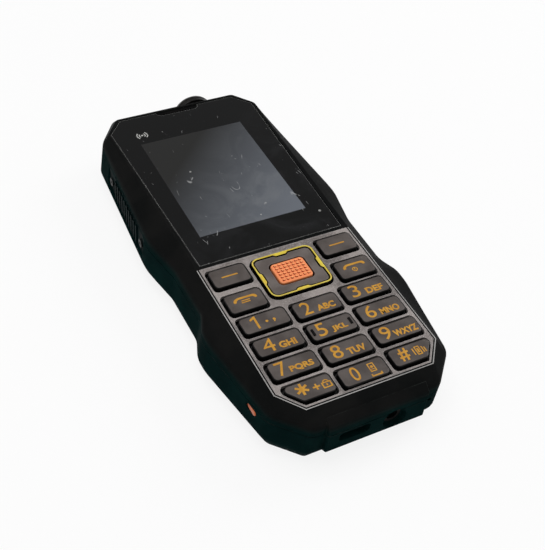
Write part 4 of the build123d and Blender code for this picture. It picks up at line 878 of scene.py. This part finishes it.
# the middle column hangs a little lower than the other two
keyGrid = {"pitch": (16.21, 8.62), "firstRow": -61.45, "middleDrop": 0.58, "sideX": 17.77, "callY": -26.75,
           "softY": -16.15}
keyPlaces = {}
for row, names in enumerate((("star", "zero", "hash"), ("seven", "eight", "nine"), ("four", "five", "six"),
                             ("one", "two", "three"))):
    for column, name in enumerate(names):
        drop = keyGrid["middleDrop"] if column == 1 else 0.0
        keyPlaces[name] = ((column - 1) * keyGrid["pitch"][0], keyGrid["firstRow"] + keyGrid["pitch"][1] * row - drop)
for left, right, level in (("call", "end", "callY"), ("soft_left", "soft_right", "softY")):
    keyPlaces[left] = (-keyGrid["sideX"], keyGrid[level])
    keyPlaces[right] = (keyGrid["sideX"], keyGrid[level])


def textMesh(words, height, width, place, bold):
    # letters as a thin raised mesh, fitted to a height and a width from their lower left corner
    s = legendSizes
    curve = bpy.data.curves.new("words", "FONT")
    curve.body = words
    curve.size = 1.0
    curve.extrude = s["extrude"]
    curve.offset = bold
    curve.resolution_u = s["curveSteps"]
    holder = inScene("words", curve)
    mesh = settled(holder)
    bpy.data.objects.remove(holder)
    xs = [v.co.x for v in mesh.vertices]
    ys = [v.co.y for v in mesh.vertices]
    scaleX, scaleY = width / (max(xs) - min(xs)), height / (max(ys) - min(ys))
    for v in mesh.vertices:
        x = place[0] + (v.co.x - min(xs)) * scaleX
        y = place[1] + (v.co.y - min(ys)) * scaleY
        z = s["keyTop"] + (s["rise"] if v.co.z > 0 else -s["sink"])
        v.co = Vector((x * mm, y * mm, z * mm))
    return mesh


def slabMesh(outlines, level):
    # flat shapes given by their outlines, as thin raised slabs, each a hair above the last where they cross
    s = legendSizes
    bm = bmesh.new()
    for i, points in enumerate(outlines):
        pushUp(bm, faceFrom(bm, points, level - s["sink"]), s["sink"] + s["rise"] + i * s["stagger"])
    turnOut(bm)
    return toMesh(bm, "slab")


def bar(x0, y0, x1, y1, width):
    # the outline of a straight stroke between two points
    along = Vector((x1 - x0, y1 - y0)).normalized() * width / 2
    side = Vector((-along.y, along.x))
    return [(x0 + side.x, y0 + side.y), (x0 - side.x, y0 - side.y),
            (x1 - side.x, y1 - side.y), (x1 + side.x, y1 + side.y)]


def bars(width, *ends):
    return [bar(*points, width) for points in ends]


def arc(x, y, radius, width, start, end, steps=10):
    # the outline of a curved stroke
    turns = [radians(start + (end - start) * i / steps) for i in range(steps + 1)]
    return [(x + (radius + half) * cos(t), y + (radius + half) * sin(t))
            for half, way in ((width / 2, turns), (-width / 2, turns[::-1])) for t in way]


def disc(x, y, radius, steps=14):
    return [(x + radius * cos(2 * pi * i / steps), y + radius * sin(2 * pi * i / steps)) for i in range(steps)]


def ringStroke(x, y, radius, width):
    # a closed ring as two half strokes
    return [arc(x, y, radius, width, 0, 180), arc(x, y, radius, width, 180, 360)]


def moved(outlines, place):
    return [[(x + place[0], y + place[1]) for x, y in points] for points in outlines]


# a telephone handset from the side: a flat bow with its two ends turned down
handset = [(-3.60, 0.05), (-3.25, -0.10), (-2.75, 0.0), (-2.50, 0.65), (-1.90, 0.98), (2.50, 0.92), (2.85, 0.60),
           (3.10, 0.22), (3.65, 0.20), (3.85, 0.55), (3.70, 1.10), (3.20, 1.50), (2.60, 1.62), (-1.90, 1.68),
           (-2.85, 1.35), (-3.45, 0.75)]
starSizes = {"centre": (-1.85, 0.6), "reach": 1.9, "width": 0.72, "turns": (90, 30, 150)}


def starArms():
    arms = []
    x, y = starSizes["centre"]
    for turn in starSizes["turns"]:
        across, along = (starSizes["reach"] * part(radians(turn)) for part in (cos, sin))
        arms.append(bar(x - across, y - along, x + across, y + along, starSizes["width"]))
    return arms


digits = {  # digit, its left edge and width, then the letters with theirs
    "two": ("2", -4.85, 2.9, "ABC", -0.5, 5.7), "three": ("3", -4.9, 2.9, "DEF", -0.3, 5.6),
    "four": ("4", -4.8, 3.5, "GHI", -0.4, 5.2), "five": ("5", -4.7, 2.9, "JKL", -0.4, 4.9),
    "six": ("6", -4.9, 3.0, "MNO", -0.7, 6.2), "seven": ("7", -5.1, 2.9, "PQRS", -1.6, 7.1),
    "eight": ("8", -4.8, 3.0, "TUV", -0.5, 5.6), "nine": ("9", -5.05, 3.1, "WXYZ", -1.5, 7.7),
    "zero": ("0", -3.8, 2.5, "", 0.0, 0.0),
}
signs = {  # strokes about the middle of the key; bars are a width and then the two ends of each
    "soft_left": bars(0.48, (-2.5, 0.0, 2.5, 0.0)),
    "soft_right": bars(0.48, (-2.5, 0.0, 2.5, 0.0)),
    "call": [handset] + bars(0.36, (-1.25, 0.2, 1.35, 0.2), (-1.4, -0.5, 1.25, -0.5)),
    "end": [handset] + ringStroke(-0.3, -0.85, 0.72, 0.28) + bars(0.28, (-0.3, -1.1, -0.3, -0.2)),
    "one": [[(-2.75, -2.1), (-2.1, -2.1), (-2.1, 2.5), (-2.6, 2.5), (-3.95, 1.75), (-3.95, 1.1), (-2.75, 1.6)],
            disc(0.5, -0.35, 0.42), disc(2.75, -0.35, 0.42),
            [(2.95, -0.05), (3.2, -0.45), (2.6, -1.35), (2.35, -1.2), (2.75, -0.5)]],
    "zero": bars(0.32, (2.0, -0.85, 2.0, 1.75), (3.6, -0.85, 3.6, 1.75), (1.84, 1.75, 3.76, 1.75),
                 (1.84, -0.85, 3.76, -0.85))
            + [disc(2.8, 0.65, 0.42)] + bars(0.26, (2.3, -0.2, 3.3, -0.2))
            + bars(0.42, (1.4, -2.35, 4.7, -2.35), (1.6, -2.35, 1.6, -1.7), (4.5, -2.35, 4.5, -1.7)),
    "star": starArms() + bars(0.5, (1.05, -0.1, 3.15, -0.1), (2.1, -1.1, 2.1, 0.9))
            + bars(0.36, (3.7, -1.3, 6.45, -1.3), (3.7, 0.3, 6.45, 0.3), (3.88, -1.3, 3.88, 0.3),
                   (6.27, -1.3, 6.27, 0.3))
            + [arc(5.08, 0.3, 0.78, 0.32, 0, 180)] + bars(0.4, (5.08, -0.85, 5.08, -0.15)),
    "hash": bars(0.62, (-4.45, 0.95, -1.3, 0.95), (-4.6, -0.6, -1.45, -0.6), (-3.95, -1.95, -3.45, 2.35),
                 (-2.5, -1.95, -2.0, 2.35))
            + bars(0.36, (0.1, 1.1, 0.1, -1.2))
            + bars(0.34, (0.95, 1.3, 0.95, -1.35), (0.8, 1.3, 2.3, 1.3), (0.8, -1.35, 2.3, -1.35),
                   (2.15, 1.3, 2.15, -1.35))
            + bars(0.5, (1.55, 0.7, 1.55, -0.8))
            + bars(0.34, (2.95, -1.2, 2.95, 0.95), (3.6, -1.2, 3.6, 0.45)),
}


def joinMeshes(meshes, name):
    bm = bmesh.new()
    for mesh in meshes:
        bm.from_mesh(mesh)
    return toMesh(bm, name)


s = legendSizes
for name, place in keyPlaces.items():
    made = []
    if name in digits:
        digit, digitX, digitWide, letters, lettersX, lettersWide = digits[name]
        low = place[1] + s["base"]
        bold = 0.0 if digit == s["unbolded"] else s["digitBold"]
        made.append(textMesh(digit, s["digit"], digitWide, (place[0] + digitX, low), bold))
        if letters:
            made.append(textMesh(letters, s["letters"], lettersWide, (place[0] + lettersX, low), s["letterBold"]))
    if name in signs:
        made.append(slabMesh(moved(signs[name], place), s["keyTop"]))
    showMesh(joinMeshes(made, "legend_" + name), "legend_" + name, legendPaint, "key_" + name,
             weighted=False)

# the two bars at the ends of the middle key, half sunk into it
nubSizes = {"x": (-5.9, 5.9), "size": (0.75, 2.4, 0.70), "round": 0.2}
nubs = []
for x in nubSizes["x"]:
    px, py = keyPlaces["five"]
    bm = bmesh.new()
    bmesh.ops.create_cube(bm, size=1.0)
    bmesh.ops.scale(bm, vec=[side * mm for side in nubSizes["size"]], verts=bm.verts)
    bmesh.ops.translate(bm, vec=((px + x) * mm, py * mm, s["keyTop"] * mm), verts=bm.verts)
    rounded(bm, bm.edges[:], nubSizes["round"])
    nubs.append(meshOf(bm, "nub"))
showMesh(joinMeshes(nubs, "fiveNubs"), "fiveNubs", finishes["groove_black"], "key_five", weighted=False)
print("legends on", len(keyPlaces), "keys")

# a small radio wave sign printed on the glass
waveSizes = {"place": (-16.4, 54.6), "z": 19.43, "radii": (0.95, 1.75), "width": 0.36, "spread": 48, "steps": 8,
             "dot": 0.36}
waves = [arc(0.0, 0.0, r, waveSizes["width"], turn - waveSizes["spread"], turn + waveSizes["spread"],
             waveSizes["steps"]) for r in waveSizes["radii"] for turn in (0, 180)]
waves.append(disc(0.0, 0.0, waveSizes["dot"]))
showMesh(slabMesh(moved(waves, waveSizes["place"]), waveSizes["z"]), "waveSign", whiteLegend, "case",
         weighted=False)

# the profile's points are a distance from the torch's axis and a place along the phone
torchSizes = {"x": 9.0, "z": 10.6, "steps": 72,
              "profile": [(4.62, 54.0), (5.4, 54.0), (5.4, 68.95), (7.22, 69.02), (7.3, 69.3), (7.3, 69.95),
                          (7.1, 70.1), (7.1, 70.45), (7.3, 70.6), (7.3, 70.95), (7.12, 71.55), (6.75, 72.0),
                          (6.3, 72.3), (5.75, 72.45), (5.4, 72.5), (5.27, 72.35), (5.25, 70.7), (4.62, 70.7)]}


def makeTorchHead():
    # the torch barrel and head, spun from its profile
    s = torchSizes
    bm = bmesh.new()
    turned(bm, [((s["x"] + r) * mm, y * mm, s["z"] * mm) for r, y in s["profile"]],
           (s["x"] * mm, 0.0, s["z"] * mm), (0.0, 1.0, 0.0), s["steps"], closed=True)
    return finishMesh(bm, "torchHead", finishes["torch_metal"], "case", sharp=35.0)


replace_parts(makeTorchHead(), "torch_bezel")
print("torch head built")

# in metres; the floor curves up past its flat middle, and lift is how far it shows its own white
stageSizes = {"flat": 0.9, "wall": 1.5, "height": 0.55, "below": 0.0002, "bend": 80, "bendSteps": 8, "steps": 64,
              "color": (0.92, 0.92, 0.92), "shade": 0.985, "grain": 90.0, "lift": 0.86, "air": 0.32}


def makeStage():
    s = stageSizes
    bm = bmesh.new()
    path = [(0.0, 0.0), (s["flat"], 0.0)]
    for step in range(1, s["bendSteps"] + 1):
        turn = radians(step * s["bend"] / s["bendSteps"])
        path.append((s["flat"] + (s["wall"] - s["flat"]) * sin(turn), s["height"] * (1 - cos(turn))))
    turned(bm, [(x, 0.0, z - s["below"]) for x, z in path], (0.0, 0.0, 0.0), (0.0, 0.0, 1.0), s["steps"])
    merge(bm)
    turnOut(bm)
    mesh = toMesh(bm, "studioFloor")
    mesh.polygons.foreach_set("use_smooth", [True] * len(mesh.polygons))
    material, tree, mixed = emptyMaterial("studioPaper", "ShaderNodeMixShader")
    grain = put(tree, "ShaderNodeTexNoise", {"Scale": s["grain"], "Detail": 4.0}).outputs[0]
    tint = mixColor(tree, grain, s["color"], tuple(s["shade"] * part for part in s["color"]))
    paper = put(tree, "ShaderNodeBsdfDiffuse", {"Color": tint})
    glow = put(tree, "ShaderNodeEmission", {"Color": (1.0, 1.0, 1.0, 1.0), "Strength": 1.0})
    rays = tree.nodes.new("ShaderNodeLightPath")
    seen = mathNode(tree, "ADD", mathNode(tree, "ADD", rays.outputs["Is Camera Ray"], rays.outputs["Is Glossy Ray"]),
                    rays.outputs["Is Transmission Ray"], clamp=True)
    for index, socket in enumerate((times(tree, seen, s["lift"]), paper.outputs[0], glow.outputs[0])):
        tree.links.new(socket, mixed.inputs[index])
    mesh.materials.append(material)
    floor = inScene("studioFloor", mesh)
    floor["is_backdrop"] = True


makeStage()
world = bpy.data.worlds.new("studioAir")
scene.world = world
world.use_nodes = True
air = world.node_tree.nodes["Background"]
air.inputs["Color"].default_value = (1.0, 1.0, 1.0, 1.0)
air.inputs["Strength"].default_value = stageSizes["air"]

lamps = {
    "overhead": {"place": (-0.15, 0.05, 1.0), "size": 0.7, "power": 5.2},
    "right": {"place": (0.75, 0.15, 0.55), "size": 0.45, "power": 2.6},
}
for name, spec in lamps.items():
    light = bpy.data.lights.new(name, "AREA")
    light.shape = "SQUARE"
    light.size = spec["size"]
    light.energy = spec["power"]
    lamp = inScene(name, light)
    lamp.location = spec["place"]
    lamp.rotation_euler = (-Vector(spec["place"])).to_track_quat("-Z", "Y").to_euler()

cameraSpec = {"place": (-0.11249, -0.19184, 0.22211), "forward": (0.37288, 0.60061, -0.70726),
              "up": (0.26858, 0.65974, 0.70186), "lens": 64.69, "sensor": 36.0, "nearest": 0.01, "farthest": 20.0}
lens = bpy.data.cameras.new("studioCamera")
lens.lens = cameraSpec["lens"]
lens.sensor_width = cameraSpec["sensor"]
lens.clip_start = cameraSpec["nearest"]
lens.clip_end = cameraSpec["farthest"]
camera = inScene("studioCamera", lens)
back = -Vector(cameraSpec["forward"]).normalized()
right = Vector(cameraSpec["up"]).cross(back).normalized()
upward = back.cross(right)
facing = Matrix((right, upward, back)).transposed().to_4x4()
camera.matrix_world = Matrix.Translation(cameraSpec["place"]) @ facing
scene.camera = camera
print("stage ready")

low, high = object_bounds()
